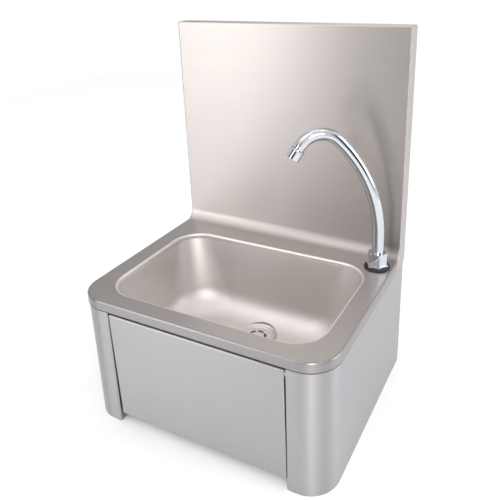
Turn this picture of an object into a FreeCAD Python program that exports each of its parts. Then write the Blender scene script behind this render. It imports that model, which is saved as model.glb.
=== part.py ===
import FreeCAD, Part
import math
import os

os.makedirs("parts", exist_ok=True)
V = FreeCAD.Vector
UP = V(0, 0, 1)

# Knee-operated hand wash sink of stainless steel sheet, for a wall.
# Millimetres. X runs to the right, -Y is the front, the wall is at +Y and Z is up.
# The origin is the middle of the footprint, at the lower edge of the side panels.

# ---- Overall ------------------------------------------------------------------
WIDTH = 400.0
DEPTH = 330.0                # wall to the front of the skirt
DECK_HEIGHT = 210.0          # lower edge of the side panels to the top of the deck
SPLASH_HEIGHT = 360.0          # top of the deck to the top of the splashback
SHEET = 1.2                  # stainless sheet
RETURN_DEPTH = 25.0          # splashback edges folded back to the wall
SKIRT_DEPTH = 16.0           # deck edge folded down
CORNER_RADIUS = 45.0         # front corners of the deck, seen from above
COVE_RADIUS = 18.0           # hollow between deck and splashback
BEND_RADIUS = 2.6            # outside of a sharp fold
LAP_GAP = 0.1                # between the skirt and the panels it laps over

# ---- Bowl ---------------------------------------------------------------------
BOWL_SIDE_LEDGE = 32.5       # deck left beside the bowl
BOWL_FRONT_LEDGE = 29.5
BOWL_BACK_LEDGE = 55.0       # bowl to the splashback
BOWL_DEPTH = 130.0
BOWL_CORNER = 45.0
BOWL_DRAFT = 14.0            # how far each wall leans in over its height
BOWL_FLOOR_CORNER = 88.0     # upright corners are rounder at the floor than at the mouth
BOWL_FLOOR_RADIUS = 42.0     # between wall and floor
FLOOR_STEPS = 6              # flats that make up the round edge between wall and floor
LIP_RADIUS = 3.2             # rolled edge of the deck at the bowl's mouth
LIP_DROP = 8.0               # deck turned down into the mouth, down to the weld
SUMP_RADIUS = 33.0           # pressed seat of the waste
SUMP_DEPTH = 3.0
SUMP_SLOPE = 3.0             # how far the seat's wall leans in
DRAIN_FROM_BACK = 65.0       # bowl's back edge to the centre of the waste

# ---- Side panels, knee panel and its hinge ------------------------------------
POST_WIDTH = 59.0            # side panel seen from the front, each side
POST_RETURN = 18.0           # its inner edge folded back
PANEL_TOP_GAP = 4.0          # between the side panel's upper edge and the deck
BACK_FLANGE = 24.0           # folded flat against the wall
PANEL_SIDE_GAP = 1.2         # knee panel to a post
PANEL_SKIRT_GAP = 3.5        # skirt to the knee panel
PANEL_LIFT = 13.0            # knee panel above the lower edge of the posts
PANEL_RETURN = 18.0
PANEL_LEAN = 1.0             # degrees that the hanging panel leans in at rest
HINGE_DROP = 11.0            # skirt's lower edge to the hinge axis
HINGE_SETBACK = 8.7          # panel's face to the hinge axis
PIN_RADIUS = 3.0
PIN_HEAD_RADIUS = 5.0
PIN_HEAD = 1.6
PIN_REACH = 9.0              # pin beyond the post, into the panel
BUSH_WALL = 1.4
BUSH_LENGTH = 4.5
BUSH_FLANGE = 0.9
BUSH_FLANGE_RADIUS = 6.5
RUNNING_GAP = 0.06           # radial, where one piece turns or slides in another
STIFFENER_WIDTH = 230.0
STIFFENER_WEB = 26.0         # flat of the hat section that meets the plunger
STIFFENER_FLANGE = 11.0
STIFFENER_DEPTH = 12.4
CONTACT_GAP = 0.3            # stiffener to the plunger at rest

# ---- Cross members ------------------------------------------------------------
RAIL_SHEET = 1.5
RAIL_HEIGHT = 50.0
RAIL_FLANGE = 12.0
RAIL_FROM_PANEL = 45.7       # face of the body to the rail's web
RAIL_TAB = 33.0              # tab turned along each side panel
BAR_HEIGHT = 40.0
BAR_FLANGE = 15.0
BAR_LIFT = 14.0              # rear crossbar above the lower edge
WALL_HOLE_RADIUS = 4.25
WALL_HOLE_INSET = 12.5       # hole to the outside of the side panel
WALL_HOLE_TOP_DROP = 30.0    # upper hole below the deck

# ---- Knee valve ---------------------------------------------------------------
VALVE_DROP = 35.0            # floor of the bowl to the valve's axis
PLUNGER_TRAVEL = 8.0
PLUNGER_RADIUS = 6.0
PLUNGER_DOME = 2.0
STOP_RADIUS = 8.0            # shoulder of the plunger behind the gland
STOP_LENGTH = 2.5
STEM_RADIUS = 4.0
STUD_RADIUS = 2.5            # end of the stem that carries the disc
CHAMBER_RADIUS = 11.0
SEAT_RADIUS = 6.5            # opening that the disc closes
SEAT_LENGTH = 2.5
DISC_RADIUS = 9.0
DISC_HEIGHT = 4.0
DISC_WASHER = 2.5
NOSE_RADIUS = 15.0           # threaded nose that passes through the rail
NOSE_LENGTH = 17.0
BARREL_RADIUS = 18.0
BARREL_LENGTH = 56.5         # behind the rail's web
SHOULDER_RADIUS = 21.0
SHOULDER_LENGTH = 8.0
GLAND_HEAD = 3.0
GLAND_HEAD_RADIUS = 13.5
GLAND_DEPTH = 12.0
LOCKNUT_FLATS = 38.0
LOCKNUT_HEIGHT = 5.0
INLET_FROM_RAIL = 26.0       # rail's web to the inlets' axes
INLET_SPREAD = 72.0          # hot inlet to cold inlet
INLET_ARM_RADIUS = 12.5      # from the barrel out to an inlet's leg
INLET_ARM_BORE = 6.5
INLET_BOSS_RADIUS = 13.5
INLET_BOSS_DROP = 26.0       # valve's axis to the root of the thread
INLET_RADIUS = 10.48         # half-inch pipe thread
INLET_THREAD = 14.0
INLET_BORE = 7.6
FILTER_LENGTH = 9.0
CAP_FLATS = 34.0             # screwed rear end of the valve
CAP_HEIGHT = 5.5
CAP_PLUG_RADIUS = 13.0
CAP_PLUG_LENGTH = 5.0
CAP_CUP_DEPTH = 8.0
SPRING_WIRE = 1.2
SPRING_COILS = 6
COIL_STEPS = 16              # straight lengths in a turn of the spring
WIRE_FLATS = 6
OUTLET_RADIUS = 9.0
OUTLET_LENGTH = 11.0

# ---- Riser pipe from the valve to the tap -------------------------------------
RISER_RADIUS = 5.0
RISER_WALL = 0.8
RISER_BEND = 26.0
RISER_FIRST_BEND = 16.0
RISER_RUN = 23.5             # end of the valve's outlet to the pipe's cross run
RISER_INSERT = 6.0
RISER_NUT_FLATS = 24.0
RISER_NUT_HEIGHT = 16.0
OLIVE_LENGTH = 3.6
OLIVE_WALL = 1.6

# ---- Tap ----------------------------------------------------------------------
TAP_FROM_SIDE = 25.0
TAP_FROM_SPLASH = 44.0
TAP_HOLE_RADIUS = 11.2
WASHER_RADIUS = 20.0
WASHER_HEIGHT = 3.0
TAP_FLANGE_FLATS = 30.0
TAP_FLANGE_HEIGHT = 3.5
TAP_NECK_RADIUS = 12.0
TAP_NECK_HEIGHT = 15.0       # above the rubber washer
SHANK_RADIUS = 10.4
SHANK_LENGTH = 48.0          # below the rubber washer
TAP_BORE = 6.0
SOCKET_DEPTH = 11.0
SPOUT_NUT_FLATS = 26.0
SPOUT_NUT_TOP = 26.0         # above the deck
BUSH_SPIGOT_RADIUS = 8.9
COLLAR_RADIUS = 11.2
COLLAR_HEIGHT = 2.0
RING_HEIGHT = 1.0
AXIAL_PLAY = 0.1
ORING_SECTION = 1.6
BACK_NUT_FLATS = 28.0
BACK_NUT_HEIGHT = 7.0
CLAMP_RADIUS = 17.0
CLAMP_HEIGHT = 2.0
THREAD_GAP = 0.05

# ---- Spout --------------------------------------------------------------------
SPOUT_RADIUS = 9.0
SPOUT_WALL = 1.2
SPOUT_HEADING = 210.0        # degrees from +X: over the bowl
SPOUT_STRAIGHT = 52.0        # deck to the start of the long curve
LONG_RADIUS = 222.0
LONG_SWEEP = 44.0
HOOK_RADIUS = 35.0
HOOK_SWEEP = 104.0
TIP_RUN = 22.0               # straight run after the hook
NECK_RADIUS = 7.9            # tube drawn in for the aerator
NECK_TAPER = 5.0
AERATOR_RADIUS = 10.0
AERATOR_RIM_RADIUS = 10.5
AERATOR_RIM = 2.2
AERATOR_LENGTH = 16.0
AERATOR_OVERLAP = 11.0       # aerator over the end of the tube
INSERT_RADIUS = 8.4
INSERT_HEIGHT = 3.0

# ---- Waste --------------------------------------------------------------------
WASTE_HOLE_RADIUS = 21.5
FLANGE_RADIUS = 28.5
FLANGE_RIM_RADIUS = 26.5
FLANGE_HEIGHT = 2.6
GRID_RADIUS = 23.5
GRID_DROP = 1.4              # grid below the flange's rim
GRID_SHEET = 1.2
SPIGOT_RADIUS = 17.3
SPIGOT_WALL = 1.4
SPIGOT_LENGTH = 7.0
SLOT_COUNT = 6
SLOT_INNER = 11.5
SLOT_OUTER = 15.5
SLOT_ANGLE = 30.0
SEAL_HEIGHT = 0.8
GASKET_HEIGHT = 2.5
TAIL_RADIUS = 20.95          # one-and-a-quarter-inch pipe thread
TAIL_BORE = 17.5
TAIL_LENGTH = 48.0
TAIL_FLANGE_RADIUS = 31.0
TAIL_FLANGE_HEIGHT = 3.0
BRIDGE_WIDTH = 5.0
BRIDGE_HEIGHT = 6.0
BRIDGE_BOSS_RADIUS = 6.0
SCREW_RADIUS = 3.0
SCREW_HEAD_RADIUS = 6.2
SCREW_LENGTH = 26.0

# ---- Places worked out from the sizes -----------------------------------------
HALF_WIDTH = WIDTH / 2
WALL_Y = DEPTH / 2
FRONT_Y = -DEPTH / 2
SPLASH_Y = WALL_Y - RETURN_DEPTH
TOP_Z = DECK_HEIGHT + SPLASH_HEIGHT
SKIRT_Z = DECK_HEIGHT - SKIRT_DEPTH
BODY_INSET = SHEET + LAP_GAP
BODY_X = HALF_WIDTH - BODY_INSET
BODY_Y = FRONT_Y + BODY_INSET
POST_X = HALF_WIDTH - POST_WIDTH
MOUTH_BACK_Y = SPLASH_Y - BOWL_BACK_LEDGE
MOUTH_FRONT_Y = FRONT_Y + BOWL_FRONT_LEDGE
MOUTH_Y = (MOUTH_BACK_Y + MOUTH_FRONT_Y) / 2
MOUTH_WIDTH = WIDTH - 2 * BOWL_SIDE_LEDGE
MOUTH_DEPTH = MOUTH_BACK_Y - MOUTH_FRONT_Y
WELD_Z = DECK_HEIGHT - LIP_DROP
FLOOR_Z = DECK_HEIGHT - BOWL_DEPTH
SUMP_Z = FLOOR_Z - SUMP_DEPTH
DRAIN_Y = MOUTH_BACK_Y - DRAIN_FROM_BACK
HINGE_Y = BODY_Y + HINGE_SETBACK
HINGE_Z = SKIRT_Z - HINGE_DROP
PANEL_X = POST_X - PANEL_SIDE_GAP
PANEL_TOP_Z = SKIRT_Z - PANEL_SKIRT_GAP
VALVE_Z = FLOOR_Z - VALVE_DROP
RAIL_Y = BODY_Y + RAIL_FROM_PANEL
RAIL_BACK_Y = RAIL_Y + RAIL_SHEET
NOSE_Y = RAIL_BACK_Y - NOSE_LENGTH - RAIL_SHEET
INLET_Y = RAIL_BACK_Y + INLET_FROM_RAIL
BARREL_END_Y = RAIL_BACK_Y + BARREL_LENGTH
SEAT_Y = INLET_Y + INLET_BORE + SEAT_LENGTH + 1.5
CUP_Y = BARREL_END_Y - CAP_PLUG_LENGTH + CAP_CUP_DEPTH
OUTLET_END_Y = BARREL_END_Y + CAP_HEIGHT + OUTLET_LENGTH
TAP_X = HALF_WIDTH - TAP_FROM_SIDE
TAP_Y = SPLASH_Y - TAP_FROM_SPLASH
WASHER_TOP_Z = DECK_HEIGHT + WASHER_HEIGHT
NECK_TOP_Z = WASHER_TOP_Z + TAP_NECK_HEIGHT
SHANK_END_Z = WASHER_TOP_Z - SHANK_LENGTH
COLLAR_Z = NECK_TOP_Z + AXIAL_PLAY
RING_Z = COLLAR_Z + COLLAR_HEIGHT
RISER_Y = OUTLET_END_Y + RISER_RUN
INLET_X = INLET_SPREAD / 2
INLET_ROOT_Z = VALVE_Z - INLET_BOSS_DROP
INLET_END_Z = INLET_ROOT_Z - INLET_THREAD


# ---- Helpers ------------------------------------------------------------------
def block(x0, x1, y0, y1, z0, z1):
    """Box between two corners."""
    return Part.makeBox(x1 - x0, y1 - y0, z1 - z0, V(x0, y0, z0))


def rod(radius, start, axis, length):
    """Cylinder from a point along an axis."""
    return Part.makeCylinder(radius, length, start, axis)


def tube(outer, inner, start, axis, length):
    """Cylinder with a bore."""
    return rod(outer, start, axis, length).cut(rod(inner, start, axis, length))


def turned(profile, start, axis):
    """Solid turned about an axis from (radius, distance along it) points."""
    points = [V(radius, 0, along) for radius, along in profile]
    face = Part.Face(Part.makePolygon(points + [points[0]]))
    solid = face.revolve(V(0, 0, 0), UP, 360)
    solid.Placement = FreeCAD.Placement(start, FreeCAD.Rotation(UP, axis))
    return solid


def hexagon(flats, centre, axis, height, turn=0.0):
    """Six-sided nut blank with its two faces chamfered round."""
    corner = flats / math.sqrt(3)
    ring = [math.radians(60 * i + turn) for i in range(7)]
    points = [V(corner * math.cos(a), corner * math.sin(a), 0) for a in ring]
    blank = Part.Face(Part.makePolygon(points)).extrude(UP * height)
    chamfer = min(0.35 * (corner - flats / 2) + 0.4, height / 4)
    cone = turned([(0, 0), (corner - chamfer, 0), (corner, chamfer), (corner, height - chamfer),
                   (corner - chamfer, height), (0, height)], V(0, 0, 0), UP)
    nut = blank.common(cone)
    nut.Placement = FreeCAD.Placement(centre, FreeCAD.Rotation(UP, axis))
    return nut


def rounded_path(corners, radii):
    """Edges of a path through corners, with an arc of each radius at the inner ones."""
    edges = []
    last = corners[0]
    for before, corner, after, radius in zip(corners, corners[1:], corners[2:], radii):
        inward = (before - corner).normalize()
        outward = (after - corner).normalize()
        half = inward.getAngle(outward) / 2
        reach = radius / math.tan(half)
        start = corner + inward * reach
        end = corner + outward * reach
        bisector = (inward + outward).normalize()
        middle = corner + bisector * (radius / math.sin(half) - radius)
        if (start - last).Length > 1e-6:
            edges.append(Part.LineSegment(last, start).toShape())
        edges.append(Part.Arc(start, middle, end).toShape())
        last = end
    edges.append(Part.LineSegment(last, corners[-1]).toShape())
    return edges


def bent_sheet(corners, radii, inside, thickness, extrusion):
    """Folded strip: its outer face follows the corners, its wall lies on the inside.

    inside gives, for each run between corners, the unit vector into the sheet."""
    inner = [corners[0] + inside[0] * thickness]
    for corner, one, two in zip(corners[1:], inside, inside[1:]):
        inner.append(corner + (one + two) * thickness)
    inner.append(corners[-1] + inside[-1] * thickness)
    inner_radii = [radius - thickness for radius in radii]
    outer_edges = rounded_path(corners, radii)
    inner_edges = rounded_path(inner, inner_radii)
    pairs = ((corners[0], inner[0]), (corners[-1], inner[-1]))
    ends = [Part.LineSegment(outer, inmost).toShape() for outer, inmost in pairs]
    wire = Part.Wire(Part.__sortEdges__(outer_edges + inner_edges + ends))
    return Part.Face(wire).extrude(extrusion)


def swept(path, radius):
    """Round bar along a wire of lines and arcs."""
    first = path.Edges[0]
    start = first.valueAt(first.FirstParameter)
    section = Part.makeCircle(radius, start, first.tangentAt(first.FirstParameter))
    return path.makePipeShell([Part.Wire(section)], True, False)


def rounded_rectangle(width, depth, radius, centre_y, z):
    """Wire of a rectangle with round corners, lying flat."""
    x = width / 2
    y = depth / 2
    middle = V(0, centre_y, z)
    signs = ((1, -1), (1, 1), (-1, 1), (-1, -1))
    corners = [middle + V(sx * x, sy * y, 0) for sx, sy in signs]
    start = (corners[-1] + corners[0]) * 0.5
    edges = rounded_path([start] + corners + [start], [radius] * 4)
    return Part.Wire(edges)


def pillar(wire, height):
    """Straight solid on a closed wire."""
    return Part.Face(wire).extrude(UP * height)


def mirrored(shape):
    """Copy on the other side of the middle plane."""
    return shape.mirror(V(0, 0, 0), V(1, 0, 0))


def save(name, *solids):
    """Writes one node, or a group of like pieces, and reports it."""
    shape = solids[0] if len(solids) == 1 else Part.makeCompound(list(solids))
    for solid in shape.Solids:
        if not solid.isValid():
            print("not valid:", name)
    shape.exportStep("parts/" + name + ".step")
    print(name, len(shape.Solids), round(shape.Volume, 1))


# ---- Sheet metal ---------------------------------------------------------------
def deck_profile(inset, back_y, bottom_z):
    """Side view of deck, cove and splashback, moved in from the seen face."""
    low_y = FRONT_Y + inset
    face_y = SPLASH_Y + inset
    deck_z = DECK_HEIGHT - inset
    centre_y = SPLASH_Y - COVE_RADIUS
    centre_z = DECK_HEIGHT + COVE_RADIUS
    radius = COVE_RADIUS + inset
    slant = radius * math.sqrt(0.5)
    x = -(HALF_WIDTH - inset)
    lines = [(low_y, deck_z), (low_y, bottom_z), (back_y, bottom_z), (back_y, TOP_Z - inset),
             (face_y, TOP_Z - inset)]
    points = [V(x, centre_y, deck_z)] + [V(x, y, z) for y, z in lines] + [V(x, face_y, centre_z)]
    arc = Part.Arc(points[-1], V(x, centre_y + slant, centre_z - slant), points[0]).toShape()
    return Part.Wire(Part.makePolygon(points).Edges + [arc])


def is_fold(edge, inset):
    """True for the outer folds: deck rim, cove ends, splashback sides and top."""
    middle = edge.valueAt((edge.FirstParameter + edge.LastParameter) / 2)
    near = 0.01
    half = HALF_WIDTH - inset
    side = abs(abs(middle.x) - half) < near
    cove_start = SPLASH_Y - COVE_RADIUS
    on_deck = abs(middle.z - (DECK_HEIGHT - inset)) < near and middle.y < cove_start - near
    on_cove = side and cove_start < middle.y < SPLASH_Y + inset - near and middle.z > DECK_HEIGHT - inset
    on_face = side and abs(middle.y - SPLASH_Y - inset) < near and middle.z > DECK_HEIGHT
    on_top = abs(middle.z - TOP_Z + inset) < near and middle.y < WALL_Y - near
    return on_deck or on_cove or on_face or on_top


def deck_block(inset, back_y, bottom_z):
    """Full block under the seen faces of deck and splashback, with its folds round."""
    half = HALF_WIDTH - inset
    solid = Part.Face(deck_profile(inset, back_y, bottom_z)).extrude(V(2 * half, 0, 0))
    front = FRONT_Y + inset
    corners = []
    for edge in solid.Edges:
        box = edge.BoundBox
        if box.YMax < front + 0.01 and box.XLength < 0.01:
            corners.append(edge)
    solid = solid.makeFillet(CORNER_RADIUS - inset, corners)
    folds = [edge for edge in solid.Edges if is_fold(edge, inset)]
    return solid.makeFillet(BEND_RADIUS - inset, folds)


def mouth(grow, z):
    """Outline of the bowl's mouth, made larger on all sides."""
    return rounded_rectangle(MOUTH_WIDTH + 2 * grow, MOUTH_DEPTH + 2 * grow, BOWL_CORNER + grow, MOUTH_Y, z)


def edges_at(shape, z, outline):
    """Level edges of a shape that lie inside an outline seen from above."""
    reach = outline.BoundBox
    reach.ZMin = z - TOP_Z
    reach.ZMax = z + TOP_Z
    found = []
    for edge in shape.Edges:
        box = edge.BoundBox
        level = abs(box.ZMin - z) < 0.001 and abs(box.ZMax - z) < 0.001
        if level and reach.isInside(box):
            found.append(edge)
    return found


def make_deck_splashback():
    """One sheet: deck, skirt, cove and splashback, with the bowl's mouth rolled down."""
    outer = deck_block(0, WALL_Y, SKIRT_Z)
    hole = pillar(mouth(0, SKIRT_Z - 1), SKIRT_DEPTH + 2)
    outer = outer.cut(hole)
    outer = outer.makeFillet(LIP_RADIUS, edges_at(outer, DECK_HEIGHT, mouth(SHEET, 0)))
    inner = deck_block(SHEET, WALL_Y + 1, SKIRT_Z - 1)
    inner = inner.cut(pillar(mouth(SHEET, SKIRT_Z - 2), SKIRT_DEPTH + 4))
    inner_lip = edges_at(inner, DECK_HEIGHT - SHEET, mouth(2 * SHEET, 0))
    inner = inner.makeFillet(LIP_RADIUS - SHEET, inner_lip)
    sheet = outer.cut(inner)
    below_weld = pillar(mouth(2 * SHEET, SKIRT_Z - 1), WELD_Z - SKIRT_Z + 1)
    sheet = sheet.cut(below_weld)
    return sheet.cut(rod(TAP_HOLE_RADIUS, V(TAP_X, TAP_Y, SKIRT_Z), UP, 2 * SKIRT_DEPTH))


def bowl_section(grow, slope, angle):
    """Level outline of the bowl at an angle of its round edge to the floor; the wall is at slope."""
    wall = WELD_Z - FLOOR_Z
    centre_drop = wall - BOWL_FLOOR_RADIUS
    centre_inset = BOWL_DRAFT * centre_drop / wall + BOWL_FLOOR_RADIUS / math.cos(slope)
    radius = BOWL_FLOOR_RADIUS + grow
    inset = centre_inset - radius * math.cos(angle)
    drop = centre_drop + radius * math.sin(angle)
    rounder = (BOWL_FLOOR_CORNER - BOWL_CORNER + BOWL_DRAFT) / wall
    corner = BOWL_CORNER + rounder * drop - inset
    return rounded_rectangle(MOUTH_WIDTH - 2 * inset, MOUTH_DEPTH - 2 * inset, corner, MOUTH_Y, WELD_Z - drop)


def bowl_form(grow):
    """The bowl as a full body: leaning walls, a round edge to the floor and the waste's seat."""
    slope = math.atan(BOWL_DRAFT / (WELD_Z - FLOOR_Z))
    turn = (math.pi / 2 - slope) / FLOOR_STEPS
    sections = [mouth(grow / math.cos(slope), WELD_Z)]
    for step in range(FLOOR_STEPS + 1):
        sections.append(bowl_section(grow, slope, slope + turn * step))
    solid = Part.makeLoft(sections, True, True)
    wide = SUMP_RADIUS + grow
    above = SUMP_DEPTH * 3
    seat = turned([(0, -grow), (wide - SUMP_SLOPE, -grow), (wide, SUMP_DEPTH), (wide, above), (0, above)],
                  V(0, DRAIN_Y, SUMP_Z), UP)
    return solid.fuse(seat)


def make_bowl():
    """Deep-drawn bowl, welded under the deck's rolled mouth, with a seat for the waste."""
    shell = bowl_form(SHEET).cut(bowl_form(0))
    shell = shell.cut(rod(WASTE_HOLE_RADIUS, V(0, DRAIN_Y, SUMP_Z - 5), UP, 10))
    return shell.removeSplitter()


def wall_hole_heights():
    """Heights of the lower and the upper wall fixing."""
    return BAR_LIFT + BAR_HEIGHT / 2, DECK_HEIGHT - WALL_HOLE_TOP_DROP


def make_side_panel_right():
    """Wall flange, side, round front corner, post and its folded edge, in one sheet."""
    corners = [V(BODY_X - BACK_FLANGE, WALL_Y, 0), V(BODY_X, WALL_Y, 0), V(BODY_X, BODY_Y, 0),
               V(POST_X, BODY_Y, 0), V(POST_X, BODY_Y + POST_RETURN, 0)]
    inside = [V(0, -1, 0), V(-1, 0, 0), V(0, 1, 0), V(1, 0, 0)]
    radii = [BEND_RADIUS, CORNER_RADIUS - BODY_INSET, BEND_RADIUS]
    panel = bent_sheet(corners, radii, inside, SHEET, UP * (DECK_HEIGHT - PANEL_TOP_GAP))
    for z in wall_hole_heights():
        hole = rod(WALL_HOLE_RADIUS, V(BODY_X - WALL_HOLE_INSET, WALL_Y - 3, z), V(0, 1, 0), 6)
        panel = panel.cut(hole)
    return panel.cut(rod(PIN_RADIUS, V(POST_X - 2, HINGE_Y, HINGE_Z), V(1, 0, 0), 6))


def make_rear_crossbar():
    """Channel welded across the back flanges, drilled with them for the lower fixings."""
    back = WALL_Y - SHEET
    top = BAR_LIFT + BAR_HEIGHT
    half = BODY_X - BEND_RADIUS - LAP_GAP
    corners = [V(-half, back - BAR_FLANGE, BAR_LIFT), V(-half, back, BAR_LIFT), V(-half, back, top),
               V(-half, back - BAR_FLANGE, top)]
    inside = [V(0, 0, 1), V(0, -1, 0), V(0, 0, -1)]
    bar = bent_sheet(corners, [BEND_RADIUS] * 2, inside, SHEET, V(2 * half, 0, 0))
    for side in (-1, 1):
        x = side * (BODY_X - WALL_HOLE_INSET)
        bar = bar.cut(rod(WALL_HOLE_RADIUS, V(x, back - 3, wall_hole_heights()[0]), V(0, 1, 0), 6))
    return bar


def make_valve_rail():
    """Channel across the body that holds the knee valve, with a welding tab at each end."""
    low = VALVE_Z - RAIL_HEIGHT / 2
    high = VALVE_Z + RAIL_HEIGHT / 2
    tab_x = BODY_X - SHEET - LAP_GAP
    half = tab_x - RAIL_SHEET
    corners = [V(-half, RAIL_Y + RAIL_FLANGE, low), V(-half, RAIL_Y, low), V(-half, RAIL_Y, high),
               V(-half, RAIL_Y + RAIL_FLANGE, high)]
    inside = [V(0, 0, 1), V(0, 1, 0), V(0, 0, -1)]
    rail = bent_sheet(corners, [BEND_RADIUS] * 2, inside, RAIL_SHEET, V(2 * half, 0, 0))
    for side in (-1, 1):
        ends = sorted((side * half, side * tab_x))
        rail = rail.fuse(block(ends[0], ends[1], RAIL_Y, RAIL_Y + RAIL_TAB, low + 6, high - 6))
    hole = rod(NOSE_RADIUS + THREAD_GAP, V(0, RAIL_Y - 1, VALVE_Z), V(0, 1, 0), RAIL_SHEET + 2)
    return rail.cut(hole).removeSplitter()


# ---- Knee panel and hinge ------------------------------------------------------
def leaned(shape):
    """Turned about the hinge axis to the panel's place at rest."""
    shape.rotate(V(0, HINGE_Y, HINGE_Z), V(1, 0, 0), PANEL_LEAN)
    return shape


def pan(inset, back_y):
    """Block of the knee panel with its front folds round."""
    half = PANEL_X - inset
    solid = block(-half, half, BODY_Y + inset, back_y, PANEL_LIFT + inset, PANEL_TOP_Z - inset)
    folds = []
    for edge in solid.Edges:
        box = edge.BoundBox
        across_depth = box.YMax - box.YMin > 1
        on_front = box.YMax < BODY_Y + inset + 0.01
        if across_depth or on_front:
            folds.append(edge)
    return solid.makeFillet(BEND_RADIUS - inset, folds)


def make_knee_panel():
    """Shallow pan, open at the back, with a hole for a bush in each side."""
    back = BODY_Y + PANEL_RETURN
    panel = pan(0, back).cut(pan(SHEET, back + 1))
    bush = PIN_RADIUS + RUNNING_GAP + BUSH_WALL
    return leaned(panel.cut(rod(bush, V(-HALF_WIDTH, HINGE_Y, HINGE_Z), V(1, 0, 0), WIDTH)))


def make_panel_stiffener():
    """Hat section across the inside of the panel, where it pushes the plunger."""
    face = BODY_Y + SHEET
    deep = face + STIFFENER_DEPTH
    low = VALVE_Z - STIFFENER_WEB / 2
    high = VALVE_Z + STIFFENER_WEB / 2
    t = SHEET
    x = -STIFFENER_WIDTH / 2
    outline = [(face, low - STIFFENER_FLANGE), (face, low + t), (deep - t, low + t), (deep - t, high - t),
               (face, high - t), (face, high + STIFFENER_FLANGE), (face + t, high + STIFFENER_FLANGE),
               (face + t, high), (deep, high), (deep, low), (face + t, low),
               (face + t, low - STIFFENER_FLANGE)]
    points = [V(x, y, z) for y, z in outline]
    hat = Part.Face(Part.makePolygon(points + [points[0]])).extrude(V(STIFFENER_WIDTH, 0, 0))
    return leaned(hat)


def make_hinge_pin():
    """Rivet through the right post's folded edge, which carries the panel."""
    start = V(POST_X - PIN_REACH, HINGE_Y, HINGE_Z)
    head = POST_X + SHEET
    pin = rod(PIN_RADIUS, start, V(1, 0, 0), PIN_REACH + SHEET)
    return pin.fuse(rod(PIN_HEAD_RADIUS, V(head, HINGE_Y, HINGE_Z), V(1, 0, 0), PIN_HEAD)).removeSplitter()


def make_hinge_bush():
    """Flanged plastic bush in the right side of the panel."""
    bore = PIN_RADIUS + RUNNING_GAP
    bush = turned([(bore, 0), (BUSH_FLANGE_RADIUS, 0), (BUSH_FLANGE_RADIUS, BUSH_FLANGE),
                   (bore + BUSH_WALL, BUSH_FLANGE), (bore + BUSH_WALL, BUSH_LENGTH), (bore, BUSH_LENGTH)],
                  V(PANEL_X + BUSH_FLANGE, HINGE_Y, HINGE_Z), V(-1, 0, 0))
    return bush


# ---- Knee valve ----------------------------------------------------------------
def contact_y():
    """Where the leaning stiffener crosses the valve's axis."""
    lean = math.radians(PANEL_LEAN)
    behind_hinge = BODY_Y + SHEET + STIFFENER_DEPTH - HINGE_Y
    return HINGE_Y + behind_hinge / math.cos(lean) + (HINGE_Z - VALVE_Z) * math.tan(lean)


def bore_y(radius, start_y, end_y):
    """Drill along the valve's axis."""
    return rod(radius, V(0, start_y, VALVE_Z), V(0, 1, 0), end_y - start_y)


def inlet_at(side, z):
    """Point on the axis of an inlet, hot on the left and cold on the right."""
    return V(side * INLET_X, INLET_Y, z)


def inlet_leg(side):
    """Arm out of the barrel with a leg turned down to the threaded inlet."""
    arm = rod(INLET_ARM_RADIUS, V(0, INLET_Y, VALVE_Z), V(side, 0, 0), INLET_X)
    top = VALVE_Z + INLET_BOSS_RADIUS
    leg = turned([(0, INLET_END_Z), (INLET_RADIUS, INLET_END_Z), (INLET_RADIUS, INLET_ROOT_Z),
                  (INLET_BOSS_RADIUS, INLET_ROOT_Z), (INLET_BOSS_RADIUS, top - 2),
                  (INLET_BOSS_RADIUS - 2, top), (0, top)], inlet_at(side, 0), UP)
    return arm.fuse(leg)


def make_valve_body():
    """Brass body: threaded nose, shoulder, barrel, two inlet legs and a seat inside."""
    back = RAIL_BACK_Y - NOSE_Y
    profile = [(0, 0), (NOSE_RADIUS, 0), (NOSE_RADIUS, back), (SHOULDER_RADIUS, back),
               (SHOULDER_RADIUS, back + SHOULDER_LENGTH), (BARREL_RADIUS, back + SHOULDER_LENGTH + 2),
               (BARREL_RADIUS, back + BARREL_LENGTH - 1), (BARREL_RADIUS - 1, back + BARREL_LENGTH),
               (0, back + BARREL_LENGTH)]
    body = turned(profile, V(0, NOSE_Y, VALVE_Z), V(0, 1, 0))
    for side in (-1, 1):
        body = body.fuse(inlet_leg(side))
    body = body.cut(bore_y(CHAMBER_RADIUS, NOSE_Y, SEAT_Y - SEAT_LENGTH))
    body = body.cut(bore_y(SEAT_RADIUS, NOSE_Y, BARREL_END_Y))
    body = body.cut(bore_y(CHAMBER_RADIUS, SEAT_Y, BARREL_END_Y))
    plug_start = BARREL_END_Y - CAP_PLUG_LENGTH - 0.5
    body = body.cut(bore_y(CAP_PLUG_RADIUS + THREAD_GAP, plug_start, BARREL_END_Y))
    for side in (-1, 1):
        body = body.cut(rod(INLET_ARM_BORE, V(0, INLET_Y, VALVE_Z), V(side, 0, 0), INLET_X))
        body = body.cut(rod(INLET_BORE, inlet_at(side, INLET_END_Z), UP, VALVE_Z - INLET_END_Z))
    return body.removeSplitter()


def make_valve_cap():
    """Screwed rear end with a cup for the spring and the threaded outlet."""
    cap = hexagon(CAP_FLATS, V(0, BARREL_END_Y, VALVE_Z), V(0, 1, 0), CAP_HEIGHT, 30)
    cap = cap.fuse(bore_y(CAP_PLUG_RADIUS, BARREL_END_Y - CAP_PLUG_LENGTH, BARREL_END_Y))
    cap = cap.fuse(bore_y(OUTLET_RADIUS, BARREL_END_Y, OUTLET_END_Y))
    cap = cap.cut(bore_y(CHAMBER_RADIUS - 1, BARREL_END_Y - CAP_PLUG_LENGTH, CUP_Y))
    return cap.cut(bore_y(RISER_RADIUS + THREAD_GAP, CUP_Y, OUTLET_END_Y)).removeSplitter()


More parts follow.
